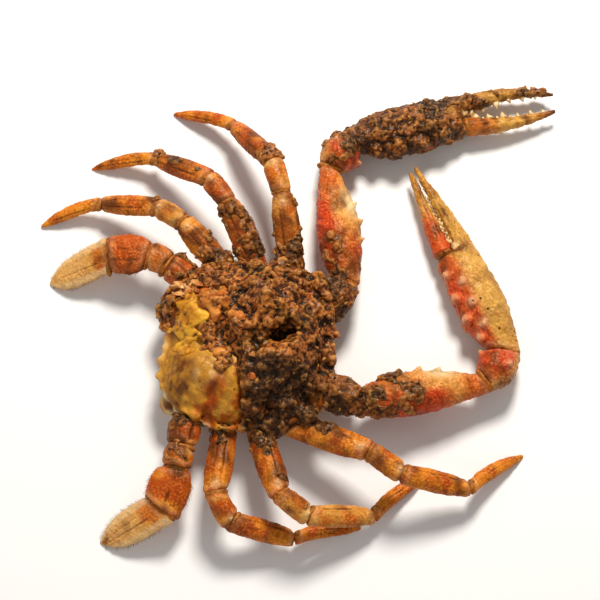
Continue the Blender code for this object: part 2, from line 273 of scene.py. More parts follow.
def grown(mesh, tree, values):
    """The mesh that a Geometry Nodes tree makes of a mesh, with values for the tree's named inputs."""
    sockets = {item.name: item.identifier for item in tree.interface.items_tree if item.in_out == "INPUT"}
    inputs = {sockets[name]: value for name, value in values.items()}
    return evaluated(mesh, "NODES", {"node_group": tree}, inputs)


def read(elements, name, width=3, kind=np.float32):
    """What every point, normal or edge of a mesh has under a name."""
    flat = np.empty(len(elements) * width, kind)
    elements.foreach_get(name, flat)
    return flat.reshape(-1, width)


def points_of(mesh):
    return read(mesh.vertices, "co").astype(float)


def normals_of(mesh):
    return read(mesh.vertex_normals, "vector").astype(float)


def move_points(mesh, points):
    mesh.vertices.foreach_set("co", points.astype(np.float32).ravel())
    mesh.update()


def relaxed(mesh, points, rounds):
    """Points moved towards the mean of their neighbours, again and again."""
    pairs = read(mesh.edges, "vertices", 2, np.int32)
    one, other = pairs.T
    count = np.bincount(pairs.ravel(), minlength=len(points))[:, None]
    for _ in range(rounds):
        total = np.empty_like(points)
        for axis in range(3):
            column = points[:, axis]
            total[:, axis] = np.bincount(one, column[other], len(points))
            total[:, axis] += np.bincount(other, column[one], len(points))
        points = points + 0.5 * (total / count - points)
    return points


def relax(mesh, rounds):
    move_points(mesh, relaxed(mesh, points_of(mesh), rounds))


def store(mesh, **measures):
    """Keeps a number for every point under each name, for materials and trees to read."""
    for name, values in measures.items():
        attribute = mesh.attributes.get(name) or mesh.attributes.new(name, "FLOAT", "POINT")
        attribute.data.foreach_set("value", np.asarray(values, np.float32))


def waves(points, length, seed):
    """An uneven field, about -1 to 1, whose swells are about length apart."""
    random = np.random.default_rng(seed)
    turn = random.normal(size=(WAVES, 3))
    turn *= (math.tau / length) * random.uniform(0.7, 1.3, (WAVES, 1)) / np.linalg.norm(turn, axis=1)[:, None]
    return np.sin(points @ turn.T + random.uniform(0, math.tau, WAVES)).sum(1) / math.sqrt(WAVES / 2) / 1.6


def smooth(value, low, high):
    share = np.clip((value - low) / (high - low), 0, 1)
    return share * share * (3 - 2 * share)


def bell(value, centre, spread):
    return np.exp(-(((value - centre) / spread) ** 2))


def show(name, mesh, finish, slot, replaced=()):
    """Puts a finished mesh in the scene as a piece of the crab, pressed flat where it meets the table."""
    points = points_of(mesh)
    points[:, 2] = np.maximum(points[:, 2], 0)
    move_points(mesh, points)
    mesh.materials.clear()
    mesh.materials.append(finish)
    mesh.shade_smooth()
    piece = put(name, mesh)
    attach(piece, "root")
    if replaced:
        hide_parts(*replaced)
    print(f"{name}: {len(mesh.polygons)} faces")
    return mesh


# %% [markdown]
# ## The limbs as chains
#
# A crab's limb is a chain of stiff tubes. Where two of them meet there is a joint, and a good deal of the
# look depends on how far a point is from it: shell is thickest in a collar around the joint, paste and
# oil gather in the crease, and colour runs from one end of a tube to the other. So every segment gets
# the places of its two joints, found from where it comes closest to its neighbours.

# %% Chains and joints
SIDES = ("right", "left")
LEG_SEGMENTS = ("merus", "carpus", "propodus", "dactyl")
CHAINS = {}
for side in SIDES:
    CHAINS[f"{side}_claw"] = ("ischium", "merus", "carpus", "palm")
    for limb in ("leg_1", "leg_2", "leg_3", "paddle"):
        CHAINS[f"{side}_{limb}"] = LEG_SEGMENTS

solids = {node: merged_copy(node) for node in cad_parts}


def tree_of(mesh):
    return BVHTree.FromPolygons([v.co for v in mesh.vertices], [p.vertices for p in mesh.polygons])


trees = {node: tree_of(mesh) for node, mesh in solids.items()}
END_POINTS = 11  # an end has at least this many points, its middle among them


def end_of(node, neighbour):
    """The points of a node's end that faces a neighbour. A finger's is the end nearer the wrist."""
    points = [v.co for v in solids[node].vertices]
    if node.endswith("finger"):
        away = np.array([(p - segments[neighbour]["start"]).length for p in points])
    else:
        away = np.array([trees[neighbour].find_nearest(p)[3] for p in points])
    near = away <= np.sort(away)[END_POINTS - 1] + 0.2 * MM
    return np.array([p for p, is_near in zip(points, near) if is_near])


def meeting_place(node, neighbour):
    """The middle of the end of a node that faces a neighbour."""
    return Vector(end_of(node, neighbour).mean(0))


def far_end(node, start):
    return max((v.co for v in solids[node].vertices), key=lambda p: (p - start).length).copy()


segments = {}
for limb, names in CHAINS.items():
    for k, name in enumerate(names):
        before = "body" if k == 0 else f"{limb}_{names[k - 1]}"
        after = f"{limb}_{names[k + 1]}" if k + 1 < len(names) else None
        node = f"{limb}_{name}"
        start = meeting_place(node, before)
        end = meeting_place(node, after) if after else far_end(node, start)
        segments[node] = {"start": start, "end": end, "before": before, "after": after}
for side in SIDES:
    finger, palm = f"{side}_claw_finger", f"{side}_claw_palm"
    start = meeting_place(finger, palm)
    segments[finger] = {"start": start, "end": far_end(finger, start), "before": palm, "after": None}
print(len(segments), "segments have their joints")

# %% [markdown]
# ## Where the paste lies
#
# Masala is spooned over the crab and turned in the pan. It stays thick where the body and the limbs meet
# and on what faces up, and it wears off where shells rub. Each segment has a share of cover at its near
# and its far end, from bare to buried, and an uneven field breaks it into patches. The same field is used
# for the lumps of paste and for the brown oil that soaks the shell around them, so the two always agree.

# %% Cover of paste
COVER = {
    "right_claw": ((0.78, 0.60), (0.58, 0.04), (0.16, -0.04), (0.02, -0.10)),
    "left_claw": ((0.80, 0.66), (0.46, -0.05), (0.40, 0.58), (0.72, 0.34)),
    "right_leg_1": ((0.54, 0.12), (0.20, 0.20), (0.14, 0.08), (0.10, -0.05)),
    "right_leg_2": ((0.50, 0.08), (0.16, 0.18), (0.12, 0.06), (0.06, -0.05)),
    "right_leg_3": ((0.46, 0.06), (0.14, 0.16), (0.12, 0.06), (0.04, -0.05)),
    "right_paddle": ((0.40, 0.22), (0.22, 0.20), (0.12, 0.06), (0.00, -0.08)),
    "left_leg_1": ((0.62, 0.30), (0.20, 0.24), (0.48, 0.20), (0.14, -0.05)),
    "left_leg_2": ((0.64, 0.38), (0.30, 0.16), (0.24, 0.34), (0.14, -0.05)),
    "left_leg_3": ((0.60, 0.24), (0.30, 0.20), (0.28, 0.10), (0.08, -0.05)),
    "left_paddle": ((0.58, 0.36), (0.30, 0.24), (0.26, 0.10), (0.02, -0.08)),
}
covers = {f"{limb}_{name}": ends for limb, rows in COVER.items() for name, ends in zip(CHAINS[limb], rows)}
covers.update({"right_claw_finger": (0.05, -0.1), "left_claw_finger": (0.30, 0.0)})
PATCH_SIZE = 15 * MM
FLECK_SIZE = 5.5 * MM


def unit(vector):
    return vector / np.linalg.norm(vector)


def along_and_around(points, start, end):
    """For each point, its share of the way along a segment and its angle around it, 90 degrees on top."""
    axis = np.array((end - start).normalized())
    level = unit(np.cross((0, 0, 1), axis))
    offset = points - np.array(start)
    around = np.arctan2(offset @ np.cross(axis, level), offset @ level)
    return offset @ axis / (end - start).length, np.degrees(around)


def paste_field(node, points, normals):
    """Above 0.5 there is paste. It is thicker on what faces up."""
    share, _ = along_and_around(points, segments[node]["start"], segments[node]["end"])
    cover = np.interp(share, (0, 1), covers[node])
    uneven = 0.19 * waves(points, PATCH_SIZE, 5) + 0.12 * waves(points, FLECK_SIZE, 6)
    return cover + uneven + 0.12 * normals[:, 2]


# %% [markdown]
# ## Boiled shell
#
# A crab's shell is chitin hardened with chalk. Boiling frees its red pigment, which shows most where the
# live crab was darkest: the upper ridges of the claws and arms. The rest turns orange, amber or cream, and
# edges where the shell is thin turn the colour of bone. It has granules about a millimetre across, small
# dark specks, and a film of oil over all, which soaks in brown where paste has lain. One function makes
# this finish. Each kind of segment gets its own four colours, and reads from its mesh how far each
# point is flushed, red, stained and so on.

# %% Shell finish
SHELL_IOR = 1.5
PATCH, MOTTLE, GRANULE, SPECK = 11 * MM, 3.4 * MM, 1.0 * MM, 3.4 * MM
SPECK_SHARE = 0.45
GRAIN_PALE, SHADE, BONE = "ffd08a", "a55c20", "e9d19c"
SPECK_BROWN, STAIN_BROWN, TIP_BROWN = "3d1c06", "5c2808", "3f1712"


def boiled_shell(name, pale, warm, red, freckles, coarse=1.0):
    """Shell in four colours. Coarse is how strongly its granules show."""
    measures = ("flush", "redness", "specks", "stain", "bone", "tip")
    made, add, place, flush, redness, specks, stain, bone, tip = new_finish(name, warm, *measures)
    rows = ((place, 1 / PATCH, 3.0), (place, 1 / MOTTLE, 5.0, 0.62))
    patches, mottles = add_each(add, "ShaderNodeTexNoise", TEXTURE, rows)
    rows = ((place, 1 / GRANULE), (place, 1 / SPECK))
    granules, pores = add_each(add, "ShaderNodeTexVoronoi", TEXTURE, rows)
    uneven = add("ShaderNodeMath", {0: mottles, 1: 1.1, 2: patches}, operation="MULTIPLY_ADD")
    rows = ((flush, 1.0, uneven), (redness, 1.25, uneven), (stain, 1.0, uneven), (granules, -0.6, mottles))
    warmth, heat, soak, relief = add_each(add, "ShaderNodeMath", SUM, rows, operation="MULTIPLY_ADD")
    rows = (  # what is read, from which value to which, and the shares that these become
        (warmth, 1.0, 1.75),
        (heat, 1.25, 2.1),
        (granules, 0.1, 0.5, 0.2 * coarse, 0.0),
        (granules, 0.35, 0.7, 0.0, 0.75 * coarse),
        (uneven, 0.85, 1.2),
        (mottles, 0.3, 0.62),
        (pores, 0.2, 0.1),
        (soak, 1.15, 2.1, 0.0, 0.93),
        (mottles, 0.0, 1.0, 0.34, 0.62),
    )
    shares = add_each(add, "ShaderNodeMapRange", RANGE, rows)
    warmth, heat, grain, between, freckled, tone, dot, soak, roughness = shares
    chosen = add("ShaderNodeSeparateColor", {0: pores.outputs["Color"]})
    chosen = add("ShaderNodeMath", {0: chosen, 1: SPECK_SHARE}, operation="LESS_THAN")
    rows = ((between, freckled), (specks, chosen))
    freckle, speck = add_each(add, "ShaderNodeMath", SUM, rows, operation="MULTIPLY")
    dot = add("ShaderNodeMath", {0: dot, 1: speck}, operation="MULTIPLY")
    shade = add("ShaderNodeMix", {0: tone, 6: SHADE, 7: "ffffff"}, data_type="RGBA")
    # From pale to orange, then to red, with soft mottled borders
    layers = [(warmth, warm), (heat, red)]
    # Granules are paler than what lies between them, where the red pigment stays as freckles
    layers += [(grain, GRAIN_PALE), (freckle, freckles), (0.65, shade, "MULTIPLY")]
    # Thin edges and specks, then the stain: brown oil from the paste, and a darker tone on faces that point
    # down
    layers += [(bone, BONE), (dot, SPECK_BROWN), (soak, STAIN_BROWN), (tip, TIP_BROWN)]
    # Boiled chitin under oil: half glossy, so that highlights are soft and small
    gloss = {"Roughness": roughness, "IOR": SHELL_IOR, "Specular IOR Level": 0.38, "Specular Tint": OIL_TINT}
    gloss.update({"Coat Weight": 0.04, "Coat Roughness": 0.12})
    close_finish(add, pale, layers, relief, (0.1 + 0.17 * coarse) * MM, gloss)
    return made


body_plate = boiled_shell("boiled_plate_ochre", "c68e2c", "b85c10", "aa420c", "8f4c10", 0.35)
cream_shell = boiled_shell("boiled_shell_cream", "d8a64a", "c87822", "cf3c14", "b06a1e")
amber_shell = boiled_shell("boiled_shell_amber", "ed921e", "c65608", "ae3a06", "922e04")
pale_shell = boiled_shell("boiled_shell_pale", "e6a646", "d27014", "b64c0e", "a8480c")
red_shell = boiled_shell("boiled_shell_red", "e2a048", "d06416", "d23e0e", "a63410")

# %% [markdown]
# ## Spines, teeth and bristles
#
# A crab's edges are armed with spines, its fingers with teeth and its paddles with bristles. All of them
# are small cones set in rows, so one Geometry Nodes tree plants them: it stands a cone on each given
# point, leaning the way that point says and as large as that point says.

# %% Plant cones, as a Geometry Nodes tree


def new_tree(name, numbers, counts=()):
    """An empty tree with a mesh in and out. Returns it, what adds a node to it, and what it is given."""
    tree = bpy.data.node_groups.new(name, "GeometryNodeTree")
    kinds = {"Mesh": "Geometry", **dict.fromkeys(numbers, "Float"), **dict.fromkeys(counts, "Int")}
    for label, kind in {**kinds, "Finish": "Material"}.items():
        tree.interface.new_socket(label, in_out="INPUT", socket_type=f"NodeSocket{kind}")
    tree.interface.new_socket("Mesh", in_out="OUTPUT", socket_type="NodeSocketGeometry")
    add = partial(add_node, tree)
    return tree, add, add("NodeGroupInput").outputs


def close_tree(add, made, given):
    real = add("GeometryNodeRealizeInstances", {0: made})
    dressed = add("GeometryNodeSetMaterial", {"Geometry": real, "Material": given["Finish"]})
    add("NodeGroupOutput", {0: dressed})


def plant_cones_tree():
    tree, add, given = new_tree("plant_cones", ("Root", "Tip", "Length"), ("Sides",))
    sizes = {"Radius Top": given["Tip"], "Radius Bottom": given["Root"], "Depth": given["Length"]}
    cone = add("GeometryNodeMeshCone", {"Vertices": given["Sides"], "Side Segments": 2, **sizes})
    lean = add("GeometryNodeInputNamedAttribute", {"Name": "lean"}, data_type="FLOAT_VECTOR")
    size = add("GeometryNodeInputNamedAttribute", {"Name": "size"}, data_type="FLOAT")
    turn = add("FunctionNodeAlignRotationToVector", {"Vector": lean}, axis="Z")
    inputs = {"Points": given["Mesh"], "Instance": cone, "Rotation": turn, "Scale": size}
    close_tree(add, add("GeometryNodeInstanceOnPoints", inputs), given)
    return tree


plant_cones = plant_cones_tree()


def cones(rows, shape, finish):
    """A cone for each row, which is a place, a lean and a size. Shape is how many sides they have, their
    radii at root and tip, and their length."""
    places, leans, sizes = zip(*rows)
    points = bpy.data.meshes.new("places")
    points.from_pydata([tuple(p) for p in places], [], [])
    points.attributes.new("lean", "FLOAT_VECTOR", "POINT").data.foreach_set("vector", np.array(leans).ravel())
    store(points, size=sizes)
    values = dict(zip(("Sides", "Root", "Tip", "Length"), shape))
    return grown(points, plant_cones, {**values, "Finish": finish})


def joined(meshes):
    """One mesh from several, with the cover that is stored on them."""
    points, faces, cover, base = [], [], [], 0
    for mesh in meshes:
        points.append(points_of(mesh))
        faces.extend([[base + v for v in p.vertices] for p in mesh.polygons])
        values = np.ones(len(mesh.vertices), np.float32)
        if "cover" in mesh.attributes:
            mesh.attributes["cover"].data.foreach_get("value", values)
        cover.append(values)
        base += len(mesh.vertices)
    made = bpy.data.meshes.new("joined")
    made.from_pydata(np.concatenate(points).tolist(), [], faces)
    store(made, cover=np.concatenate(cover))
    return made


# %% Where the spines stand
FAR_OUT = 40 * MM
SPINE_SIDES, SPINE_SINK = 12, 0.8 * MM


def kind_of(node):
    return node.rsplit("_", 1)[1]


def toward(node, angle):
    """The unit vector out of a segment at an angle around it, 90 degrees being up."""
    axis = (segments[node]["end"] - segments[node]["start"]).normalized()
    level = Vector((0, 0, 1)).cross(axis).normalized()
    return level * math.cos(math.radians(angle)) + axis.cross(level) * math.sin(math.radians(angle))


def on_surface(node, share, angle):
    """The outermost place of a segment at a share of its length, and the way out of it."""
    out = toward(node, angle)
    centre = segments[node]["start"].lerp(segments[node]["end"], share)
    return trees[node].ray_cast(centre + out * FAR_OUT, -out)[0], out


def spine_rows(side):
    """For each claw segment: angle, shares of its length, root and tip radii, height, lean forward."""
    front, turn = (0, 1) if side == "right" else (180, -1)
    return {
        "merus": [(front + 12 * turn, (0.32, 0.48, 0.64), 1.9, 0.4, 2.2, 0.6)],
        "carpus": [
            (front + 10 * turn, (0.56,), 2.0, 0.5, 2.4, 0.4),
            (90 + 35 * turn, (0.62,), 1.9, 0.9, 1.6, 0.3),
        ],
        "palm": [
            (front + 24 * turn, (0.1, 0.2, 0.31, 0.43), 3.1, 1.5, 1.9, 0.3),
            (90 - 34 * turn, (0.15, 0.26, 0.37), 2.2, 1.3, 0.9, 0.2),
            (90 - 4 * turn, (0.555,), 2.6, 1.9, 1.0, 0.0),
        ],
    }


def spines_of(node):
    """The spines of a segment as cones, and where their tips are."""
    kind = kind_of(node)
    rows = []
    if "claw" in node:
        rows = spine_rows(node.split("_")[0]).get(kind, [])
    elif kind in ("merus", "carpus") and "paddle" not in node:
        rows = [(90, (0.9,), 1.2, 0.4, 1.1, 0.4)]
    axis = (segments[node]["end"] - segments[node]["start"]).normalized()
    meshes, tips = [], []
    for angle, shares, root, tip, height, forward in rows:
        shape = (SPINE_SIDES, root * MM, tip * MM, height * MM + SPINE_SINK)
        planted = []
        for k, share in enumerate(shares):
            place, out = on_surface(node, share, angle)
            place, lean = place - out * SPINE_SINK, (out + axis * forward).normalized()
            planted.append((place, lean, 0.85 + 0.1 * ((3 * k) % 4)))
            tips.append(place + lean * shape[3])
        meshes.append(cones(planted, shape, cream_shell))
    return meshes, tips


# %% [markdown]
# ## Limb segments
#
# Each segment is joined with its spines, skinned, relaxed and then given what a real one has: a pinched
# crease at the joint, a thicker collar before it, and shallow grooves along it. Colour follows from the
# same measurements and is stored on the mesh, point by point, for the shell finish to read.

# %% Shape a segment
RELAX_ROUNDS = 4
CREASE_DEPTH, CREASE_REACH = 0.35 * MM, 0.7 * MM
COLLAR_HEIGHT, COLLAR_PLACE, COLLAR_SPREAD = 0.24 * MM, 2.2 * MM, 1.2 * MM
GROOVE_DEPTH = 0.45 * MM
RIDGE_HEIGHT = 0.55 * MM
BUMP_HEIGHT = 0.2 * MM
JOINT_REACH = 9 * MM
HINGE_PLACE = 47.8 * MM  # from the wrist to the root of the moving finger
HINGE_DEPTH, HINGE_WIDTH = 0.7 * MM, 1.1 * MM


def distance_to(points, node):
    """How far each point is from a packed segment, up to a joint's reach. Nothing is beyond the last one."""
    found = (trees[node].find_nearest(p, JOINT_REACH)[3] if node else None for p in points)
    return np.array([JOINT_REACH if d is None else d for d in found])


def own_number(node):
    """No two segments are quite alike, so each has a number of its own."""
    return sum(map(ord, node))


def facing_inward(node, angle):
    """How far each point of a limb faces the other side's limb, from -1 to 1."""
    return np.cos(np.radians(angle)) * (1 if node.startswith("right") else -1)


def groove_lines(node, share, angle):
    """Nearness to the grooves along a segment, less nearness to its ridges."""
    if "claw" not in node:
        own = own_number(node)
        depths = {52 + own % 17: 1, 125 - own % 13: 0.25 * (own % 4), 84 + own % 9: 0.3 * (own % 2)}
        lines = sum(depth * bell(angle, turn, 7) for turn, depth in {**depths, -60: 1, -120: 1}.items())
        near, far = 0.06 + 0.05 * (own % 5), 0.72 + 0.05 * (own % 4)
        ends = smooth(share, near, near + 0.12) * smooth(-share, -far - 0.12, -far)
        return lines * ends * (kind_of(node) != "carpus")
    beside_top, before_tip = bell(angle, 78, 9) + bell(angle, 112, 9), smooth(-share, -0.95, -0.8)
    if node.endswith("palm"):
        fingers = beside_top * smooth(share, 0.56, 0.62)
        ridges = (bell(angle, 60, 8) + bell(angle, 120, 8)) * smooth(share, 0.04, 0.14)
        ridges = ridges * smooth(-share, -0.5, -0.4)
        return 0.7 * fingers * before_tip - RIDGE_HEIGHT / GROOVE_DEPTH * ridges
    if node.endswith("finger"):
        return 0.7 * beside_top * smooth(share, 0.05, 0.2) * before_tip
    return 0 * share


def shape_segment(node, mesh):
    """Presses in creases, collars and grooves. Returns distance to a joint, share along and angle around."""
    facts = segments[node]
    points, normals = points_of(mesh), normals_of(mesh)
    to_before, to_after = distance_to(points, facts["before"]), distance_to(points, facts["after"])
    share, angle = along_and_around(points, facts["start"], facts["end"])
    joint = np.minimum(to_before, to_after)
    lift = -CREASE_DEPTH * np.exp(-joint / CREASE_REACH)
    lift += COLLAR_HEIGHT * bell(to_after, COLLAR_PLACE, COLLAR_SPREAD)
    lift += 0.6 * COLLAR_HEIGHT * bell(to_before, COLLAR_PLACE, COLLAR_SPREAD)
    lift -= GROOVE_DEPTH * groove_lines(node, share, angle)
    if node.endswith("palm"):
        reach = share * (facts["end"] - facts["start"]).length
        upper_hinge = bell(reach, HINGE_PLACE, HINGE_WIDTH) * (normals[:, 2] > 0)
        lift -= HINGE_DEPTH * upper_hinge * smooth(facing_inward(node, angle), -0.7, 0.1)
    bumps = BUMP_HEIGHT * (waves(points, 4.2 * MM, 11) + 0.6 * waves(points, 2.0 * MM, 12))
    lift += bumps if "claw" in node else 0.5 * bumps  # legs are smoother
    move_points(mesh, points + normals * lift[:, None])
    return joint, share, angle


# %% Paint a segment
STAIN_SIZE = 9 * MM
TIP_REACH = 2.1 * MM
KINDS = {  # how flushed, how red and how specked each kind of segment is, its finish and its slot
    "ischium": (0.3, 0.1, 0.2, amber_shell, "orange_shell"),
    "merus": (0.4, 0.2, 0.2, amber_shell, "orange_shell"),
    "carpus": (0.4, 0.0, 0.2, pale_shell, "cream_shell"),
    "propodus": (0.3, 0.25, 0.2, amber_shell, "orange_shell"),
    "dactyl": (0.1, 0.0, 0.1, amber_shell, "cream_shell"),
    "palm": (-0.2, 0.0, 1.0, cream_shell, "cream_shell"),
    "finger": (0.0, 0.0, 0.3, cream_shell, "cream_shell"),
}
OTHERWISE = (  # segments whose finish and slot aren't their kind's
    (("right_paddle_dactyl", "left_paddle_dactyl"), pale_shell, "cream_shell"),
    (("right_claw_merus", "left_claw_merus"), red_shell, "red_shell"),
    (("right_claw_carpus", "left_claw_carpus"), red_shell, "orange_shell"),
    (("right_leg_1_carpus", "right_leg_3_carpus", "left_leg_2_carpus"), amber_shell, "cream_shell"),
    (("right_leg_2_propodus", "left_leg_1_merus"), pale_shell, "orange_shell"),
)
dress = {node: KINDS[kind_of(node)][3:] for node in segments}
dress.update({node: look for nodes, *look in OTHERWISE for node in nodes})


def paint_segment(node, mesh, joint, share, angle):
    """How flushed, red, specked, stained, bony and dark each point is."""
    points, normals = points_of(mesh), normals_of(mesh)
    kind = kind_of(node)
    flush, redness, specks = (np.full(len(points), value) for value in KINDS[kind][:3])
    own = (own_number(node) % 7 - 3) / 12
    flush = flush + own + 0.3 * bell(joint, 0, 2 * MM) - 0.5 * bell(share, 0.88, 0.12)
    thin_edge = 0 * share
    if "paddle" in node:
        flush = flush + 0.6 - 1.1 * smooth(share, 0.1, 0.5) * (kind == "dactyl")
        redness = redness - 0.45 + 0.3 * bell(share, 0.4, 0.25) * (kind == "propodus")
        thin_edge = smooth(np.abs(np.cos(np.radians(angle))), 0.9, 0.99) * (kind == "dactyl")
    elif kind == "dactyl":
        flush = flush + 0.6 * smooth(share, 0.35, 1.0)
    field = paste_field(node, points, normals)
    grooves = np.maximum(groove_lines(node, share, angle), 0) * (0.7 + 0.5 * waves(points, STAIN_SIZE, 33))
    stain = 0.75 * smooth(field, 0.05, 0.6) + 0.8 * np.exp(-joint / (1.0 * MM)) + 0.8 * grooves
    # Stain also rises on faces that point down, so each segment is darker towards its underside
    stain += 0.35 * smooth(-normals[:, 2], 0.0, 0.8) - 0.4 * thin_edge
    stain += 0.26 * waves(points, STAIN_SIZE, 31) + 0.22 * waves(points, FLECK_SIZE, 32)
    flush = flush + 0.3 * waves(points, STAIN_SIZE, 34) + 0.25 * waves(points, FLECK_SIZE, 35)
    bone = 0.14 * bell(joint, 2.4 * MM, 1.0 * MM) * (kind != "finger") + 0.45 * thin_edge
    if "paddle" in node and kind == "dactyl":
        bone = bone + 0.16 * smooth(share, 0.1, 0.5) * (1 - thin_edge)
    return dict(flush=flush, redness=redness, specks=specks, stain=stain, bone=bone, tip=0 * share)


def make_segment(node, repaint=None):
    cone_meshes, tips = spines_of(node)
    mesh = skinned(joined([rounded(solids[node]), *cone_meshes]), SKIN_SIZE)
    relax(mesh, RELAX_ROUNDS)
    joint, share, angle = shape_segment(node, mesh)
    paint = paint_segment(node, mesh, joint, share, angle)
    if repaint:
        repaint(node, mesh, paint, share, angle)
    points = points_of(mesh)
    for tip in tips:
        near = bell(np.linalg.norm(points - np.array(tip), axis=1), 0, TIP_REACH)
        paint["bone"] = np.maximum(paint["bone"], 0.5 * near)
        paint["stain"] = paint["stain"] * (1 - near)
    store(mesh, **paint)
    return show(f"{node}_shell", mesh, *dress[node], [node])


legs = [f"{limb}_{name}" for limb, names in CHAINS.items() if "claw" not in limb for name in names]
shells = {node: make_segment(node) for node in legs}

# %% [markdown]
# ## Joint skin
#
# The tubes of a limb are joined by a soft skin, tucked in between their hard ends. It shows as a thin
# amber-brown line in the crease of each joint. A flattened ball at each joint, nearly as wide as the ends
# that meet there, fills the crease from inside.

# %% Joint skin
SKIN_THICKNESS = 2.0 * MM
SKIN_SHARE = 0.91


def mottled_finish(name, swatch, tones, grain, detail, depth, inputs, limits=(0.35, 0.65), rough=0.5):
    """A material of two mixed tones, in grains of a size in mm, over bumps of a depth in mm."""
    made, add, place = new_finish(name, swatch)
    [noise] = add_each(add, "ShaderNodeTexNoise", TEXTURE, [(place, 1 / (grain * MM), detail, rough)])
    [share] = add_each(add, "ShaderNodeMapRange", RANGE, [(noise, *limits)])
    close_finish(add, tones[0], [(share, tones[1])], noise, depth * MM, inputs)
    return made


def middle_and_axes(spread):
    """The middle of an end's points, and the three ways in which they spread, from wide to narrow."""
    centre = spread.mean(0)
    return centre, np.linalg.svd(spread - centre, full_matrices=False)[2]


def add_ball(bm, centre, axes, radii):
    """A ball with a radius of its own along each of three axes."""
    for vert in bmesh.ops.create_icosphere(bm, subdivisions=3, radius=1.0)["verts"]:
        steps = (share * axis * radius for share, axis, radius in zip(vert.co, axes, radii))
        vert.co = Vector(centre + sum(steps))


def add_joint_ball(bm, node, neighbour):
    """A flattened ball over the end of a node that faces its neighbour, within both ends."""
    spread = end_of(node, neighbour)
    centre, axes = middle_and_axes(spread)
    ends = [spread] if neighbour == "body" or node.endswith("finger") else [spread, end_of(neighbour, node)]
    radii = [min(np.abs((end - end.mean(0)) @ axis).max() for end in ends) * SKIN_SHARE for axis in axes[:2]]
    add_ball(bm, centre, axes, (*radii, SKIN_THICKNESS))


# Soft skin, wrinkled by the boil and dark with oil: duller than the shell on both sides of it
skin_inputs = {"Roughness": 0.5, "Specular Tint": OIL_TINT}
tones = ("6a340e", "b8722a")
joint_skin = mottled_finish("joint_skin", "8f4c16", tones, 1.4, 4.0, 0.3, skin_inputs, rough=0.6)
for side in SIDES:
    bm = bmesh.new()
    for node, facts in segments.items():
        if node.startswith(side):
            add_joint_ball(bm, node, facts["before"])
    bmesh.ops.recalc_face_normals(bm, faces=bm.faces)
    show(f"{side}_joint_skin", mesh_of(bm, f"{side}_joint_skin"), joint_skin, "orange_shell")

# %% [markdown]
# ## The claws
#
# The arm swells near the body and thins to a neck before the wrist. One edge is red, and its far half is
# cream. On the palm, the inner edge carries a ridge of blunt spines, and the red pigment sits on that
# ridge and at the root of the moving finger. The outer side stays cream, and the finger tips are darkest.

# %% Claw colours


def paint_arm(node, mesh, paint, share, angle):
    facing = facing_inward(node, angle)
    back, front = smooth(-facing, -0.3, 0.7), smooth(facing, 0.2, 0.9)
    paint["redness"] = 1.3 * back * bell(share, 0.42, 0.34) + 0.5 * front * bell(share, 0.16, 0.14)
    paint["flush"] = 0.7 - 1.1 * bell(share, 0.64, 0.16) - 0.5 * front + 0.35 * smooth(share, 0.8, 0.95)
    paint["bone"] = np.maximum(paint["bone"], 0.8 * bell(share, 0.66, 0.12) * front)
    paint["stain"] = paint["stain"] - 0.25 * bell(share, 0.62, 0.25)
    paint["specks"][:] = 0.3


def paint_wrist(node, mesh, paint, share, angle):
    high = np.sin(np.radians(angle))
    red = smooth(0.7 * high + 0.7 * facing_inward(node, angle), -0.4, 0.5)
    paint["redness"] = 1.25 * red * (0.5 + 0.5 * smooth(share, 0.1, 0.5))
    paint["flush"] = 0.5 * red - 0.2


def claw_axes(side):
    """The palm's start, and unit vectors along the claw and towards its inner edge."""
    palm = segments[f"{side}_claw_palm"]
    along = (palm["end"] - palm["start"]).normalized()
    finger = solids[f"{side}_claw_finger"].vertices
    inward = sum((v.co for v in finger), Vector()) / len(finger) - palm["start"]
    return palm["start"], along, (inward - along * inward.dot(along)).normalized()


def paint_claw(node, mesh, paint, share, angle):
    """Colours the palm and both fingers by the way along the claw and across it, in mm."""
    right = node.startswith("right")  # the left claw's finger tips are the darker ones
    start, along, inward = claw_axes("right" if right else "left")
    offset = points_of(mesh) - np.array(start)
    reach, across = offset @ np.array(along) / MM, offset @ np.array(inward) / MM
    high = smooth(np.sin(np.radians(angle)), -0.3, 0.5)
    if node.endswith("palm"):
        ridge = smooth(across, -3, 8) * smooth(-reach, -49, -45) * smooth(reach, 1, 8)
        hinge = bell(reach, HINGE_PLACE / MM, 1.6) * smooth(across, -5, 0) * (normals_of(mesh)[:, 2] > 0)
        paint["redness"] = 1.55 * ridge**1.6 * (0.4 + 0.6 * high) * (1.1 - 0.012 * reach)
        paint["redness"] += 0.3 * bell(reach, 2, 5)
        paint["flush"] = 0.55 * ridge - 0.3 + 0.45 * smooth(reach, 58, 88)
        paint["stain"] = 0.8 * paint["stain"] + 0.1 + 1.3 * hinge
        paint["stain"] += 0.3 * smooth(-across, 3, 9) * smooth(-reach, -44, -20)
        paint["tip"] = smooth(reach, 82, 91) * (0.3 if right else 0.9)
    else:
        paint["redness"] = (0.8 if right else 0.4) * bell(reach, 52, 8) * smooth(across, -4, 2)
        paint["redness"] += 0.75 * smooth(across, 1, 5) * smooth(-reach, -80, -62) * right
        paint["flush"] = 0.7 - 0.9 * smooth(reach, 56, 66) + (0.5 if right else 1.0) * smooth(reach, 70, 86)
        paint["tip"] = smooth(reach, 78, 89) * (0.3 if right else 0.95)


REPAINTS = {"ischium": None, "merus": paint_arm, "carpus": paint_wrist, "palm": paint_claw}
for side in SIDES:
    for name, repaint in {**REPAINTS, "finger": paint_claw}.items():
        shells[f"{side}_claw_{name}"] = make_segment(f"{side}_claw_{name}", repaint)

# %% [markdown]
# ## Teeth
#
# Both fingers have a row of blunt ivory teeth along the edge where they meet, large at the root and small
# at the tip. On the closed claw they mesh and show as a dark ragged line. Rays cast across the claw find
# the two edges.

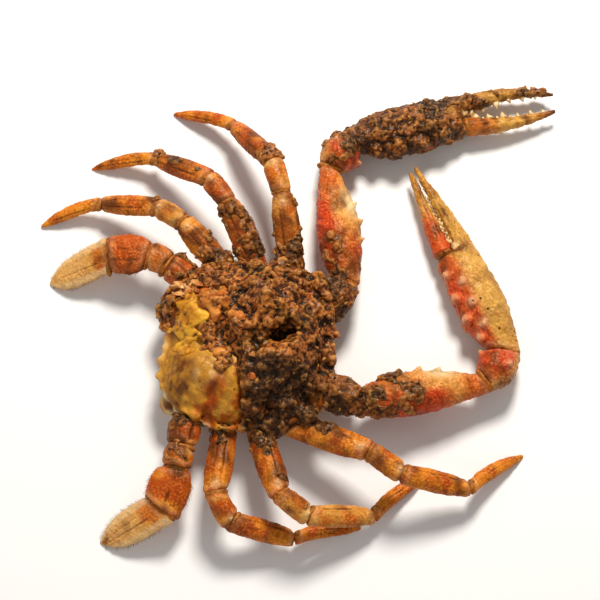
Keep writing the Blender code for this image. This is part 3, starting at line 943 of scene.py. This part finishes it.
# %% Teeth
TOOTH_ROW = (53 * MM, 86 * MM)  # from the wrist
TEETH = {  # spacing, radii at root and tip, height in mm, and how small every second tooth is
    "right": (2.2, 1.35, 0.6, 0.5, 0.85),
    "left": (2.9, 1.75, 0.3, 2.3, 0.45),
}
TOOTH_SIDES, TOOTH_SINK = 9, 0.6 * MM

# Hard and polished by use, so glossier than the shell, with brown worn into it
ivory_inputs = {"Roughness": 0.32, "Specular Tint": OIL_TINT}
tones = ("ecd29c", "9a6228")
ivory = mottled_finish("tooth_ivory", tones[0], tones, 1.6, 3.0, 0.15, ivory_inputs, (0.42, 0.7))


def teeth_rows(side):
    """Teeth along the facing edges. Rays that come from beyond the other finger meet that edge first."""
    start, along, inward = claw_axes(side)
    spacing, small = TEETH[side][0] * MM, TEETH[side][-1]
    length = TOOTH_ROW[1] - TOOTH_ROW[0]
    for k in range(int(length / spacing)):
        reach = TOOTH_ROW[0] + k * spacing
        for node, out, shift in (("palm", inward, 0), ("finger", -inward, spacing / 2)):
            from_afar = start + along * (reach + shift) + out * FAR_OUT
            hit = trees[f"{side}_claw_{node}"].ray_cast(from_afar, -out)[0]
            if hit:
                lean = (out + along * 0.25 * math.sin(2.4 * k)).normalized()
                uneven = (1 + 0.15 * math.sin(5 * k)) * (small if k % 2 else 1)
                yield hit - out * TOOTH_SINK, lean, (1.2 - 0.6 * (reach - TOOTH_ROW[0]) / length) * uneven


for side in SIDES:
    _, root, tip, height, _ = TEETH[side]
    shape = (TOOTH_SIDES, root * MM, tip * MM, height * MM + TOOTH_SINK)
    show(f"{side}_claw_teeth", cones(teeth_rows(side), shape, ivory), ivory, "cream_shell")

# %% [markdown]
# ## Bristles
#
# The last two segments of a swimming leg are flat paddles, fringed with short stiff bristles that widen
# them in the water. Cooked, they lie matted with oil, brown against the pale paddle.

# %% Bristles
BRISTLE_SPACING = 0.5 * MM
BRISTLE_SINK = 0.5 * MM
BRISTLE_SHAPE = (4, 0.14 * MM, 0.03 * MM, 1.9 * MM)

# Horny hairs soaked in oil: brown, with paler streaks, and hardly shiny
bristle = mottled_finish("oily_bristle", "6a3a14", ("4a240b", "b0762e"), 2, 2.0, 0.05, {"Roughness": 0.45})


def fringe(node, shares):
    """Bristles along both thin edges of a segment."""
    axis = segments[node]["end"] - segments[node]["start"]
    length = axis.length
    random = np.random.default_rng(91)
    for angle in (0, 180):
        for share in np.arange(*shares, BRISTLE_SPACING / length):
            place, out = on_surface(node, float(share), angle)
            if place is None:
                continue
            place = place - out * BRISTLE_SINK + Vector((0, 0, random.uniform(-0.25, 0.25) * MM))
            tilt = Vector((0, 0, random.uniform(-0.2, 0.2)))
            lean = (out + axis / length * random.uniform(0.5, 1.1) + tilt).normalized()
            yield place, lean, random.uniform(0.55, 1.1)


for side in SIDES:
    paddle = f"{side}_paddle"
    rows = [*fringe(f"{paddle}_dactyl", (0.12, 0.96)), *fringe(f"{paddle}_propodus", (0.2, 0.85))]
    show(f"{paddle}_bristles", cones(rows, BRISTLE_SHAPE, bristle), bristle, "cream_shell")

# %% [markdown]
# ## The body
#
# With the top shell off, a crab shows the inner shell that holds its leg muscles: two smooth domes, one
# on each side, each divided by faint seams that run to the gaps between the legs. A thin lip of broken
# shell goes all round the edge, and each limb comes out of a pale ring. Underneath are the breast plates
# and the folded tail. All of it is one hard piece, so it is one mesh: rings are joined on before the skin
# goes round it, and seams, lip and plates are pressed into it.

# %% Rings where the limbs come out
RING_TUBE = 1.3 * MM
RING_SPACE = 1.2 * MM  # between a limb and the middle of its ring
RING_SINK = 1.2 * MM  # how far it is set into the body
RING_SPOKES, RING_SIDES = 40, 10


def tube_ring(centre, axes, radii, thickness=RING_TUBE):
    """An uneven ring: an oval of these radii along the first two axes, with the third across it."""
    bm = bmesh.new()
    loops = []
    turns = np.linspace(0, math.tau, RING_SIDES, False)
    for i in range(RING_SPOKES):
        a = math.tau * i / RING_SPOKES
        spoke = radii[0] * math.cos(a) * axes[0] + radii[1] * math.sin(a) * axes[1]
        out = unit(spoke)
        tube = thickness * (1 + 0.25 * math.sin(3 * a + 400 * centre[0]))
        sides = [out * math.cos(b) + axes[2] * math.sin(b) for b in turns]
        loops.append([bm.verts.new(centre + spoke + tube * side) for side in sides])
    for i in range(RING_SPOKES):
        for j in range(RING_SIDES):
            after, beside = loops[(i + 1) % RING_SPOKES], (j + 1) % RING_SIDES
            bm.faces.new((loops[i][j], after[j], after[beside], loops[i][beside]))
    bmesh.ops.recalc_face_normals(bm, faces=bm.faces)
    return mesh_of(bm, "ring")


def socket_ring(node):
    """The ring around the root of a limb."""
    spread = end_of(node, "body")
    centre, axes = middle_and_axes(spread)
    centre[:2] -= RING_SINK * centre[:2] / np.linalg.norm(centre[:2])
    return tube_ring(centre, axes, [np.abs((spread - centre) @ axis).max() + RING_SPACE for axis in axes[:2]])


roots = [node for node, facts in segments.items() if facts["before"] == "body"]
rings = [socket_ring(node) for node in roots]
root_tree = tree_of(joined([solids[node] for node in roots]))

# %% A torn ring at the corner
# Where the edge of the back shell broke away behind the swimming leg, half a pale ring is left standing,
# with dark flesh in it
TORN_CORNER = np.array((-0.78, -0.63, 0.0))
TORN_HEIGHT = 15 * MM
TORN_RADII, TORN_TUBE = (4.8 * MM, 4.0 * MM), 1.6 * MM
TORN_SINK, FLESH_THICKNESS = 0.4 * MM, 1.5 * MM
TORN_FACING = unit(np.array((-0.42, -0.36, 0.83)))
torn_level = unit(np.cross((0, 0, 1), TORN_FACING))
torn_axes = (torn_level, np.cross(TORN_FACING, torn_level), TORN_FACING)
torn_from = Vector(TORN_CORNER) * 2 * FAR_OUT + Vector((0, 0, TORN_HEIGHT))
torn_centre = np.array(trees["body"].ray_cast(torn_from, -Vector(TORN_CORNER))[0]) - TORN_SINK * TORN_CORNER
flesh = bmesh.new()
add_ball(flesh, torn_centre, torn_axes, (*TORN_RADII, FLESH_THICKNESS))
rings += [tube_ring(torn_centre, torn_axes, TORN_RADII, TORN_TUBE), mesh_of(flesh, "flesh")]
print("the torn ring stands at, in mm:", [round(value / MM, 1) for value in torn_centre])


def around_torn_ring(points):
    """Nearness to the ring itself, and to the hollow inside it."""
    u, v, w = ((points - torn_centre) @ np.array(axis) for axis in torn_axes)
    out = np.hypot(u / TORN_RADII[0], v / TORN_RADII[1])
    ring = bell(np.hypot((out - 1) * TORN_RADII[0], w), 0, 1.7 * MM)
    return ring, bell(out, 0, 0.75) * bell(w, 0, 4 * MM)


# %% Shape the body
BODY_SKIN, BODY_ROUNDS = 0.46 * MM, 7
RIM_HEIGHT = 17 * MM
SEAM_ANGLES = (43, 69, 91, 114)
SEAM_DEPTH, SEAM_WIDTH = 1.7 * MM, 1.9 * MM
NOTCH_DEPTH = 4 * MM  # how far the back edge is drawn in, where the fat lies
LIP_HEIGHT, LIP_SPREAD = 1.4 * MM, 0.7 * MM
ROOT_REACH = 12 * MM  # limbs further away than this don't shape the body
TAIL_START, TAIL_LENGTH, TAIL_HALF_WIDTH, TAIL_SEGMENT = -30 * MM, 42 * MM, 9 * MM, 6 * MM


def seam_lines(points, width):
    """Nearness to the lines that run out to the gaps between the legs."""
    near = np.zeros(len(points))
    for turn in SEAM_ANGLES:
        for sign in (1, -1):
            a = math.radians(turn * sign)
            foot = np.array((12 * MM * math.cos(a), 6 * MM * sign))
            way = unit(np.array((math.cos(a), math.sin(a))) * 50 * MM - foot)
            offset = points[:, :2] - foot
            aside = offset[:, 0] * way[1] - offset[:, 1] * way[0] + 0.8 * MM * waves(points, 16 * MM, 24)
            near = np.maximum(near, bell(aside, 0, width) * smooth(offset @ way, 0, 8 * MM))
    return near


def tail_lines(points):
    """Nearness to the outline and the segment lines of the folded tail, under the body."""
    forward = np.clip((points[:, 0] - TAIL_START) / TAIL_LENGTH, 0, 1)
    aside = np.abs(points[:, 1]) - TAIL_HALF_WIDTH * (1 - 0.85 * forward**1.3)
    across = np.cos(points[:, 0] / TAIL_SEGMENT * math.pi) ** 24 * (aside < 0)
    return np.maximum(bell(aside, 0, 0.7 * MM), 0.6 * across) * (points[:, 0] < TAIL_START + TAIL_LENGTH)


body_mesh = skinned(joined([rounded(solids["body"]), *rings]), BODY_SKIN)
points = relaxed(body_mesh, points_of(body_mesh), BODY_ROUNDS)
points[:, 0] += NOTCH_DEPTH * bell(points[:, 1], 5 * MM, 8 * MM) * smooth(-points[:, 0], 12 * MM, 30 * MM)
move_points(body_mesh, points)
normals = normals_of(body_mesh)
upper = smooth(points[:, 2], RIM_HEIGHT, RIM_HEIGHT + 2 * MM)
under = smooth(-normals[:, 2], -0.1, 0.3)
to_root = np.array([root_tree.find_nearest(p, ROOT_REACH)[3] or ROOT_REACH for p in points])
by_ring = bell(to_root, RING_SPACE, 1.6 * MM) * (1 - upper)
seams = seam_lines(points, SEAM_WIDTH)
torn_ring, torn_hollow = around_torn_ring(points)
lip = bell(points[:, 2] + 0.5 * MM * waves(points, 9 * MM, 25), RIM_HEIGHT, LIP_SPREAD) * (1 - under)
lift = -SEAM_DEPTH * seams * (upper + 0.7 * (1 - upper) * (1 - tail_lines(points)) * (1 - by_ring))
lift += LIP_HEIGHT * lip * (1 + 0.6 * waves(points, 5 * MM, 21)) * (1 - by_ring)
lift -= 1.1 * MM * bell(points[:, 2], RIM_HEIGHT - 2.0 * MM, 0.9 * MM) * (1 - under) * (1 - by_ring)
lift -= 0.9 * MM * tail_lines(points) * under
lift += BUMP_HEIGHT * (waves(points, 6 * MM, 22) + 0.5 * waves(points, 2.2 * MM, 23))
lift += 0.5 * MM * waves(points, 14 * MM, 26) * upper
lift = lift * (1 - torn_ring) - 0.5 * MM * torn_hollow
move_points(body_mesh, points + normals * lift[:, None])

# %% Paint the body


def in_mm(points):
    """How far forward and how far to the left each point lies, in mm."""
    return points[:, 0] / MM, points[:, 1] / MM


x, y = in_mm(points)
above = smooth(points[:, 2], RIM_HEIGHT - 3 * MM, RIM_HEIGHT)
bare = smooth(-x, -4, 2) * smooth(-y, -6, 3) * above  # the clean plates, at the back on the right
patchy = waves(points, PATCH_SIZE, 5) + 0.5 * waves(points, FLECK_SIZE, 6)
ragged = np.clip(0.55 + 0.5 * waves(points, 7 * MM, 27) + 0.35 * waves(points, 2.6 * MM, 28), 0, 1.2)
beside_seams = seam_lines(points, 3.2 * MM) * bare
front_edge = bell(x, 29, 5) * bell(y, -20, 10)
crown_highlight = bell(x, -14, 9) * bell(y, -13, 4) * bare  # the dome's top, paler as a painted highlight
flush = 0.35 - 0.75 * bare * (1 - beside_seams) + 0.9 * beside_seams * ragged + 0.2 * patchy
flush += 1.5 * bell(y, -28, 7) * smooth(x, -28, -14) * ragged
redness = 0.35 * bell(y, 28, 9) * smooth(-x, 0, 10) + 0.7 * beside_seams * bell(y, -22, 7) * ragged
bone = (0.45 + 0.3 * bell(y, -30, 8)) * lip * (0.7 + 0.3 * patchy) + 0.7 * by_ring + 1.2 * torn_ring
# Painted highlight on the top of the dome
bone += 0.3 * crown_highlight * ragged
blotch = 1.4 * bell(x, -26, 7) * bell(y, -15, 10) * (0.35 + 0.65 * ragged)
blotch += 0.8 * bell(x, -2, 3) * bell(y, -22, 9) * ragged
soiled = 0.95 - 0.95 * bare + 0.22 * patchy + 0.5 * seams + 0.95 * blotch
soiled -= 0.45 * np.clip(lip + by_ring, 0, 1)
soiled += 1.1 * torn_hollow - torn_ring - 0.7 * front_edge
soiled += 0.3 * bare * waves(points, STAIN_SIZE, 29)
lower = 0.3 + 0.3 * patchy + 0.7 * seams + 0.7 * tail_lines(points)  # rubbed cleaner, brown in its lines
store(
    body_mesh,
    flush=flush - 0.6 * under + 0.4 * under * tail_lines(points),
    redness=redness,
    specks=0.8 * bare * smooth(points[:, 2], 20 * MM, 22 * MM),
    stain=np.clip(soiled * above + lower * (1 - above), -1, 1.25),
    bone=np.clip(bone, 0, 0.88),
    tip=0 * x,
)
shells["body"] = show("body_shell", body_mesh, body_plate, "cream_shell", ["body"])

# %% [markdown]
# ## Masala paste
#
# The paste is onion, coconut and spices ground together and fried down until the oil parts from it. It
# is dark brown with olive and red-brown in it, coarse like wet coffee grounds, and shines where oil sits
# on it. It goes on as dollops, so it is made of dollops: Geometry Nodes scatter flattened balls over the
# shell, more and larger where the cover is high, and a voxel skin melts them into one mass. A second tree
# then pushes that mass in and out, in clumps and in finer crumbs, so that it crumbles.

# %% Masala finish
GRAIN, CLUMP, OIL_PATCH, BLOTCH = 1.1 * MM, 4.5 * MM, 8 * MM, 14 * MM
RED_BROWN, OLIVE, TOASTED, OILED, BURNT_AND_SHADE = "74360b", "66420c", "b4621c", "964015", "2a1307"
# Crests of the paste get a painted highlight, and its crevices painted shade
GRAIN_DARK, CREST_HIGHLIGHT, CREVICE_SHADE = "8c7a66", "da9248", "1a0702"


def masala_finish():
    measures = ("cupped", "raised", "burnt", "fried")
    made, add, place, cupped, raised, burnt, fried = new_finish("fried_masala_paste", "6f3d14", *measures)
    rows = ((place, 1 / BLOTCH, 2.0), (place, 1 / CLUMP, 5.0, 0.65), (place, 1 / OIL_PATCH, 3.0))
    blotches, clumps, oily = add_each(add, "ShaderNodeTexNoise", TEXTURE, rows)
    grains = add("ShaderNodeTexVoronoi", {"Vector": place, "Scale": 1 / GRAIN})
    rows = ((fried, 0.22, clumps), (burnt, -0.42, 0.64), (grains, -0.8, clumps))
    toasted, dull, relief = add_each(add, "ShaderNodeMath", SUM, rows, operation="MULTIPLY_ADD")
    rows = (  # what is read, from which value to which, and the shares that these become
        (blotches, 0.42, 0.6),
        (toasted, 0.44, 0.68),
        (oily, 0.54, 0.66, 0.0, 0.5),
        (raised, 0.1, 1.0, 0.0, dull),
        (cupped, 0.0, 0.42, 0.0, 0.97),
        (clumps, 0.35, 0.6, 0.3, 0.62),
    )
    olive, toasted, oily, crest, crevice, roughness = add_each(add, "ShaderNodeMapRange", RANGE, rows)
    # Each grain is a little lighter or darker than the next
    tint = add("ShaderNodeSeparateColor", {0: grains.outputs["Color"]})
    tone = add("ShaderNodeMix", {0: tint, 6: GRAIN_DARK, 7: "ffffff"}, data_type="RGBA")
    # The burnt layer darkens patches burnt in the pan, and paints shade on the heap's front-right flank and
    # in its hollow
    layers = [(olive, OLIVE), (toasted, TOASTED), (oily, OILED), (0.8, tone, "MULTIPLY"), (burnt, BURNT_AND_SHADE)]
    # Painted highlight on the crests of the lumps, painted shade in the crevices between them
    layers += [(crest, CREST_HIGHLIGHT), (crevice, CREVICE_SHADE)]
    # Ground spice soaked in oil: mostly dull, with wet spots
    gloss = {"Roughness": roughness, "IOR": 1.45, "Specular IOR Level": 0.4, "Specular Tint": PASTE_TINT}
    gloss.update({"Coat Weight": 0.08, "Coat Roughness": 0.15})
    close_finish(add, RED_BROWN, layers, relief, 0.4 * MM, gloss)
    return made


masala = masala_finish()

# %% Dollops, as a Geometry Nodes tree


def dollop_tree():
    """Scatters balls over a surface by its stored cover, lays them flat on it and turns each its own way."""
    numbers = ("Density", "Smallest", "Largest", "Flatness", "Stretch", "Tilt")
    tree, add, given = new_tree("scatter_dollops", numbers, ("Detail", "Seed"))
    cover = add("GeometryNodeInputNamedAttribute", {"Name": "cover"}, data_type="FLOAT")
    density = add("ShaderNodeMath", {0: cover, 1: given["Density"]}, operation="MULTIPLY")
    inputs = {"Mesh": given["Mesh"], "Density": density, "Seed": given["Seed"]}
    scatter = add("GeometryNodeDistributePointsOnFaces", inputs)
    # Small ones are commoner than large ones, and all are smaller towards the edge of a patch
    chance = add("FunctionNodeRandomValue", {"Seed": given["Seed"]}, data_type="FLOAT")
    chance = add("ShaderNodeMath", {0: chance, 1: 2.0}, operation="POWER")
    rows = ((chance, 0.0, 1.0, given["Smallest"], given["Largest"]), (cover, 0.0, 1.0, 0.5, 1.0))
    size, fade = add_each(add, "ShaderNodeMapRange", RANGE, rows)
    size = add("ShaderNodeMath", {0: size, 1: fade}, operation="MULTIPLY")
    rows = ((size, given["Stretch"]), (size, given["Flatness"]))
    long, thick = add_each(add, "ShaderNodeMath", SUM, rows, operation="MULTIPLY")
    scale = add("ShaderNodeCombineXYZ", {0: long, 1: size, 2: thick})
    most = add("ShaderNodeCombineXYZ", {0: given["Tilt"], 1: given["Tilt"], 2: math.pi})
    ends = {0: (-1, -1, -1), 1: (1, 1, 1), "Seed": 3}
    turn = add("FunctionNodeRandomValue", ends, data_type="FLOAT_VECTOR")
    turn = add("ShaderNodeVectorMath", {0: turn, 1: most}, operation="MULTIPLY")
    turn = add("FunctionNodeEulerToRotation", {0: turn})
    laid = scatter.outputs["Rotation"]
    turn = add("FunctionNodeRotateRotation", {0: laid, 1: turn}, rotation_space="LOCAL")
    ball = add("GeometryNodeMeshIcoSphere", {"Radius": 1.0, "Subdivisions": given["Detail"]})
    inputs = {"Points": scatter, "Instance": ball, "Rotation": turn, "Scale": scale}
    close_tree(add, add("GeometryNodeInstanceOnPoints", inputs), given)
    return tree


scatter_dollops = dollop_tree()


def scattered(surface, cover, density, sizes, seed, finish, detail=2, stretch=1.25, tilt=0.2):
    """Dollops over a copy of a surface, so many to the square metre where the cover is 1. Sizes are the
    smallest and the largest radius in mm, and the flatness."""
    mesh = surface.copy()
    store(mesh, cover=cover(points_of(mesh), normals_of(mesh)))
    values = {"Density": density, "Smallest": sizes[0] * MM, "Largest": sizes[1] * MM, "Flatness": sizes[2]}
    values.update({"Stretch": stretch, "Tilt": tilt, "Detail": detail, "Seed": seed, "Finish": finish})
    return grown(mesh, scatter_dollops, values)


# %% Crumbs, as a Geometry Nodes tree
CRUMBLE_SIZES = ("Clump size", "Clump height", "Crumb size", "Crumb height")
PASTE_SKIN = 0.5 * MM
HOLLOW_ROUNDS = 16
FULL_DEPTH = 0.44 * MM  # a hollow this deep gets the darkest painted shade, and a crest this high the palest painted highlight


def crumble_tree():
    """Pushes a surface in and out: round clumps, from the distance to scattered centres, and finer crumbs."""
    tree, add, given = new_tree("crumble", CRUMBLE_SIZES)
    place = add("GeometryNodeInputPosition")
    rows = ((1.0, given["Crumb size"]), (1.0, given["Clump size"]))
    fine, coarse = add_each(add, "ShaderNodeMath", SUM, rows, operation="DIVIDE")
    rows = ((place, fine, 3.0, 0.6), (place, coarse, 2.0))
    crumbs, drift = add_each(add, "ShaderNodeTexNoise", TEXTURE, rows)
    # The clumps are drawn out of round by moving the place where they are looked up
    push = {0: drift.outputs["Color"], "Scale": given["Clump size"]}
    moved = add("ShaderNodeVectorMath", {0: place, 1: add("ShaderNodeVectorMath", push, operation="SCALE")})
    around = {"Vector": moved, "Scale": coarse, "Smoothness": 0.35}
    clumps = add("ShaderNodeTexVoronoi", around, feature="SMOOTH_F1")
    rows = ((clumps, 0.0, 0.9, 0.5, -0.5), (crumbs, 0.25, 0.75, -0.5, 0.5))
    clumps, crumbs = add_each(add, "ShaderNodeMapRange", RANGE, rows)
    lift = add("ShaderNodeMath", {0: clumps, 1: given["Clump height"]}, operation="MULTIPLY")
    lift = add("ShaderNodeMath", {0: crumbs, 1: given["Crumb height"], 2: lift}, operation="MULTIPLY_ADD")
    outward = {0: add("GeometryNodeInputNormal"), "Scale": lift}
    offset = add("ShaderNodeVectorMath", outward, operation="SCALE")
    close_tree(add, add("GeometryNodeSetPosition", {"Geometry": given["Mesh"], "Offset": offset}), given)
    return tree


crumble = crumble_tree()


def roughened(mesh, finish, clump, crumb):
    """A surface pushed into clumps and crumbs, each given by its size and its height in mm."""
    sizes = dict(zip(CRUMBLE_SIZES, (value * MM for value in (*clump, *crumb))))
    return grown(mesh, crumble, {**sizes, "Finish": finish})


def crumbled(balls, finish, clump, crumb, rounds):
    """Melts dollops into one mass, roughens it, and stores how deep its hollows and high its crests are."""
    mass = skinned(balls, PASTE_SKIN)
    relax(mass, rounds)
    rough = roughened(mass, finish, clump, crumb)
    relax(rough, 1)
    points = points_of(rough)
    depth = ((relaxed(rough, points, HOLLOW_ROUNDS) - points) * normals_of(rough)).sum(1) / FULL_DEPTH
    store(rough, cupped=np.clip(depth, 0, 1), raised=np.clip(-depth, 0, 1))
    return rough


# %% [markdown]
# ### Paste on the limbs
#
# The cover of each shell is cut off sharply at the edge of a patch, so that the patches have borders. The
# balls sit half in the shell, which leaves a low rounded edge, as paste has where it dries.

# %% Coat the limbs
LIMB_DENSITY, LIMB_DOLLOPS = 5.5e5, (0.6, 2.8, 0.5)


def limb_cover(node):
    return lambda points, normals: smooth(paste_field(node, points, normals), 0.47, 0.66)


def coat(name, nodes, seed):
    balls = [
        scattered(shells[node], limb_cover(node), LIMB_DENSITY, LIMB_DOLLOPS, seed + 7 * k, masala)
        for k, node in enumerate(nodes)
    ]
    mesh = crumbled(joined(balls), masala, (4.4, 1.3), (1.5, 1.1), 2)
    burnt, fried = waves(points_of(mesh), 16 * MM, 65), waves(points_of(mesh), 17 * MM, 67)
    store(mesh, burnt=0.42 + 0.45 * smooth(burnt, -0.4, 0.6), fried=smooth(fried, -0.1, 0.8))
    return show(name, mesh, masala, "masala")


pastes = []
for k, side in enumerate(SIDES):
    limbs = [node for node in segments if node.startswith(side)]
    pastes.append(coat(f"masala_on_{side}_claw", [node for node in limbs if "claw" in node], 410 + k))
    pastes.append(coat(f"masala_on_{side}_legs", [node for node in limbs if "claw" not in node], 510 + k))

# %% [markdown]
# ### Paste on the body
#
# On the body the paste is a heap, with larger lumps, a hollow where the top shell was torn off, and thin
# tongues that run down the front and the sides.

# %% Heap on the body
HOLLOW, HOLLOW_RADII, HOLLOW_TURN = np.array((15.0, 1.0)) * MM, np.array((6.5, 2.8)) * MM, math.radians(28)
HOLLOW_DEPTH = 9 * MM
SWELL_HEIGHT = 1.9 * MM
CORE_SKIN = 0.8 * MM


def fat_place(x, y):
    """Nearness to the strip along the back edge where the crab's fat has set."""
    return bell(x, -22, 8) * bell(y, 10, 11)


def heap_cover(points, normals):
    x, y = in_mm(points)
    front = smooth(x, -3, 3) * (1 - 0.8 * bell(x, 29, 5) * bell(y, -20, 9))
    behind = smooth(x, -18, -12) * smooth(y, -13, -8)
    back_left = 0.62 * smooth(y, 6, 12) * (1 - fat_place(x, y))
    edge = waves(points, 12 * MM, 61) * 0.14 + waves(points, 5 * MM, 62) * 0.1
    share = np.maximum(np.maximum(front, behind), back_left)
    return smooth(share + edge, 0.45, 0.6) * smooth(points[:, 2], 9 * MM, 14 * MM)


def upward(points, normals):
    return smooth(normals[:, 2], 0.0, 0.4)


def in_hollow(points):
    aside = points[:, :2] - HOLLOW
    c, s = math.cos(HOLLOW_TURN), math.sin(HOLLOW_TURN)
    turned = np.stack((aside[:, 0] * c + aside[:, 1] * s, aside[:, 1] * c - aside[:, 0] * s), 1)
    return bell(np.linalg.norm(turned / HOLLOW_RADII, axis=1), 0, 1)


lumps = scattered(shells["body"], heap_cover, 2.6e5, (1.0, 4.2, 0.75), 71, masala)
core = skinned(solids["masala_heap"], CORE_SKIN)
more = scattered(core, upward, 1.2e5, (1.5, 5.4, 0.75), 72, masala)
heap_mesh = skinned(joined([lumps, core, more]), PASTE_SKIN)
points = relaxed(heap_mesh, points_of(heap_mesh), 3)
points[:, 2] -= HOLLOW_DEPTH * in_hollow(points) * smooth(points[:, 2], 20 * MM, 26 * MM)
points[:, 2] += SWELL_HEIGHT * waves(points, 13 * MM, 63) * smooth(points[:, 2], 18 * MM, 24 * MM)
move_points(heap_mesh, points)
heap_mesh = crumbled(heap_mesh, masala, (5.6, 2.6), (1.6, 1.3), 1)
points = points_of(heap_mesh)
x, y = in_mm(points)
# The front-right flank and the hollow are darkened as painted shade; the waves add patches burnt in the pan
flank = smooth(x, -3, 6) * smooth(-y, 6, 13)
below_hollow = bell(x, 12, 6) * bell(y, -6, 3)
burnt = 0.9 * flank + 0.9 * in_hollow(points) - 0.6 * below_hollow + 0.28 * waves(points, 11 * MM, 66)
fried = bell(x, -8, 10) * bell(y, -2, 10) + 1.5 * below_hollow + 0.6 * waves(points, 15 * MM, 67)
store(heap_mesh, burnt=np.clip(burnt, 0, 0.9), fried=np.clip(fried, 0, 1.5))
pastes.append(show("masala_heap_paste", heap_mesh, masala, "masala", ["masala_heap"]))

# %% [markdown]
# ## Fat, roe and torn shell
#
# Along the back edge, behind the heap, the crab's own yellow fat has set in soft lumps. Its orange roe
# lies on the left dome, which has been torn open, so scraps of thin shell and meat stand up out of it.
# Fat and roe are made as the paste is, of dollops under a skin, but smoother. The scraps are the same
# scatter again, now of thin, tilted, angular flakes that stay separate.

# %% Fat and roe
SOFT_LUMP, SOFT_BLOTCH, SOFT_CREVICE_SHADE = 3 * MM, 7 * MM, "3c1605"
LIGHT_REACH = (1.4 * MM, 0.6 * MM, 0.15 * MM)  # red light goes furthest into fat


def soft_finish(name, dark, middle, light, roughness):
    made, add, place, cupped = new_finish(name, middle, "cupped")
    rows = ((place, 1 / SOFT_LUMP, 5.0, 0.65), (place, 1 / SOFT_BLOTCH, 2.0))
    lumps, blotches = add_each(add, "ShaderNodeTexNoise", TEXTURE, rows)
    rows = ((lumps, 0.36, 0.54), (blotches, 0.46, 0.66), (cupped, 0.0, 0.7))
    # Lumps and blotches vary the colour; the hollows get painted shade
    layers = zip(add_each(add, "ShaderNodeMapRange", RANGE, rows), (middle, light, SOFT_CREVICE_SHADE))
    # Soft and wet: light goes a little way in, and the surface shines
    soft = {"Subsurface Weight": 0.08, "Subsurface Radius": LIGHT_REACH, "Subsurface Scale": 1.0}
    gloss = {"Roughness": roughness, "Specular Tint": OIL_TINT, "Coat Weight": 0.12, "Coat Roughness": 0.15}
    close_finish(add, dark, layers, lumps, 0.5 * MM, {**soft, **gloss})
    return made


fat = soft_finish("set_crab_fat", "8f4f0e", "c4811c", "dfa42c", 0.42)
roe = soft_finish("cooked_roe", "6e2a08", "b35c1c", "cf8334", 0.45)
scrap = soft_finish("torn_shell_and_meat", "7f3612", "bb6c30", "dda060", 0.42)


def fat_cover(points, normals):
    x, y = in_mm(points)
    share = 1.1 * fat_place(x, y) + 0.6 * bell(x, -24, 4) * bell(y, -4, 5)
    share += 0.2 * waves(points, 6 * MM, 81) + 0.14 * waves(points, 3 * MM, 86)
    return smooth(share, 0.42, 0.8) * (points[:, 2] > RIM_HEIGHT - 3 * MM)


def roe_cover(points, normals):
    x, y = in_mm(points)
    share = bell(x, -12, 10) * bell(y, 17, 11) + 0.75 * bell(x, -11, 6) * bell(y, -3, 7)
    share -= 0.7 * fat_place(x, y)
    share += 0.34 * waves(points, 6.5 * MM, 82) + 0.15 * waves(points, 3 * MM, 87)
    return smooth(share, 0.6, 0.68) * (points[:, 2] > RIM_HEIGHT - 3 * MM)


def scrap_cover(points, normals):
    x, y = in_mm(points)
    share = bell(x, -17, 15) * bell(y, 24, 8) + 0.3 * waves(points, 8 * MM, 85)
    return smooth(share, 0.4, 0.75) * (points[:, 2] > RIM_HEIGHT - 2 * MM)


bed = joined([shells["body"], pastes[-1]])
balls = scattered(bed, fat_cover, 3.4e5, (0.9, 2.8, 0.5), 83, fat)
show("yellow_fat", crumbled(balls, fat, (5.0, 1.2), (1.9, 0.9), 3), fat, "masala")
balls = scattered(bed, roe_cover, 1.3e5, (0.8, 2.8, 0.75), 84, roe)
show("orange_roe", crumbled(balls, roe, (4.0, 1.3), (1.8, 1.0), 2), roe, "masala")
scraps = scattered(bed, scrap_cover, 9.0e4, (0.7, 2.0, 0.25), 89, scrap, stretch=2.2, tilt=0.8)
show("torn_scraps", roughened(scraps, scrap, (2.4, 0.8), (1.4, 0.8)), scrap, "cream_shell")

# %% [markdown]
# ## What is in the masala
#
# Scraps of coconut and onion, flakes of chilli and whole small seeds stand out of the paste. They are the
# same scatter as the dollops, now as faceted crumbs of eighty faces at most that stay separate.

# %% Crumbs of spice
SCRAPS = {  # finish, its tones and roughness, number per square metre, radii in mm and flatness, stretch
    # Coconut fried until it is brown and hardly shiny
    "coconut_scraps": ("fried_coconut", ("7a4518", "bd8642"), 0.5, 1.0e4, (0.5, 1.1, 0.4), 1.8),
    # Dried chilli skin, waxy and a little glossy
    "chilli_flakes": ("chilli_flake", ("4c190b", "6e2a10"), 0.35, 0.6e4, (0.35, 0.85, 0.25), 2.2),
    # Seeds roasted nearly black, with an oily gleam
    "dark_seeds": ("roasted_seed", ("140804", "3a1a0a"), 0.4, 1.2e4, (0.4, 0.8, 0.8), 1.2),
}


def everywhere(points, normals):
    return np.ones(len(points))


paste_surface = joined(pastes)
for k, (name, (stuff, tones, roughness, density, sizes, stretch)) in enumerate(SCRAPS.items()):
    inputs = {"Roughness": roughness, "Specular Tint": OIL_TINT}
    finish = mottled_finish(stuff, tones[1], tones, 1.2, 3.0, 0.1, inputs)
    scraps = scattered(paste_surface, everywhere, density, sizes, 101 + k, finish, 1, stretch)
    show(name, scraps, finish, "masala")
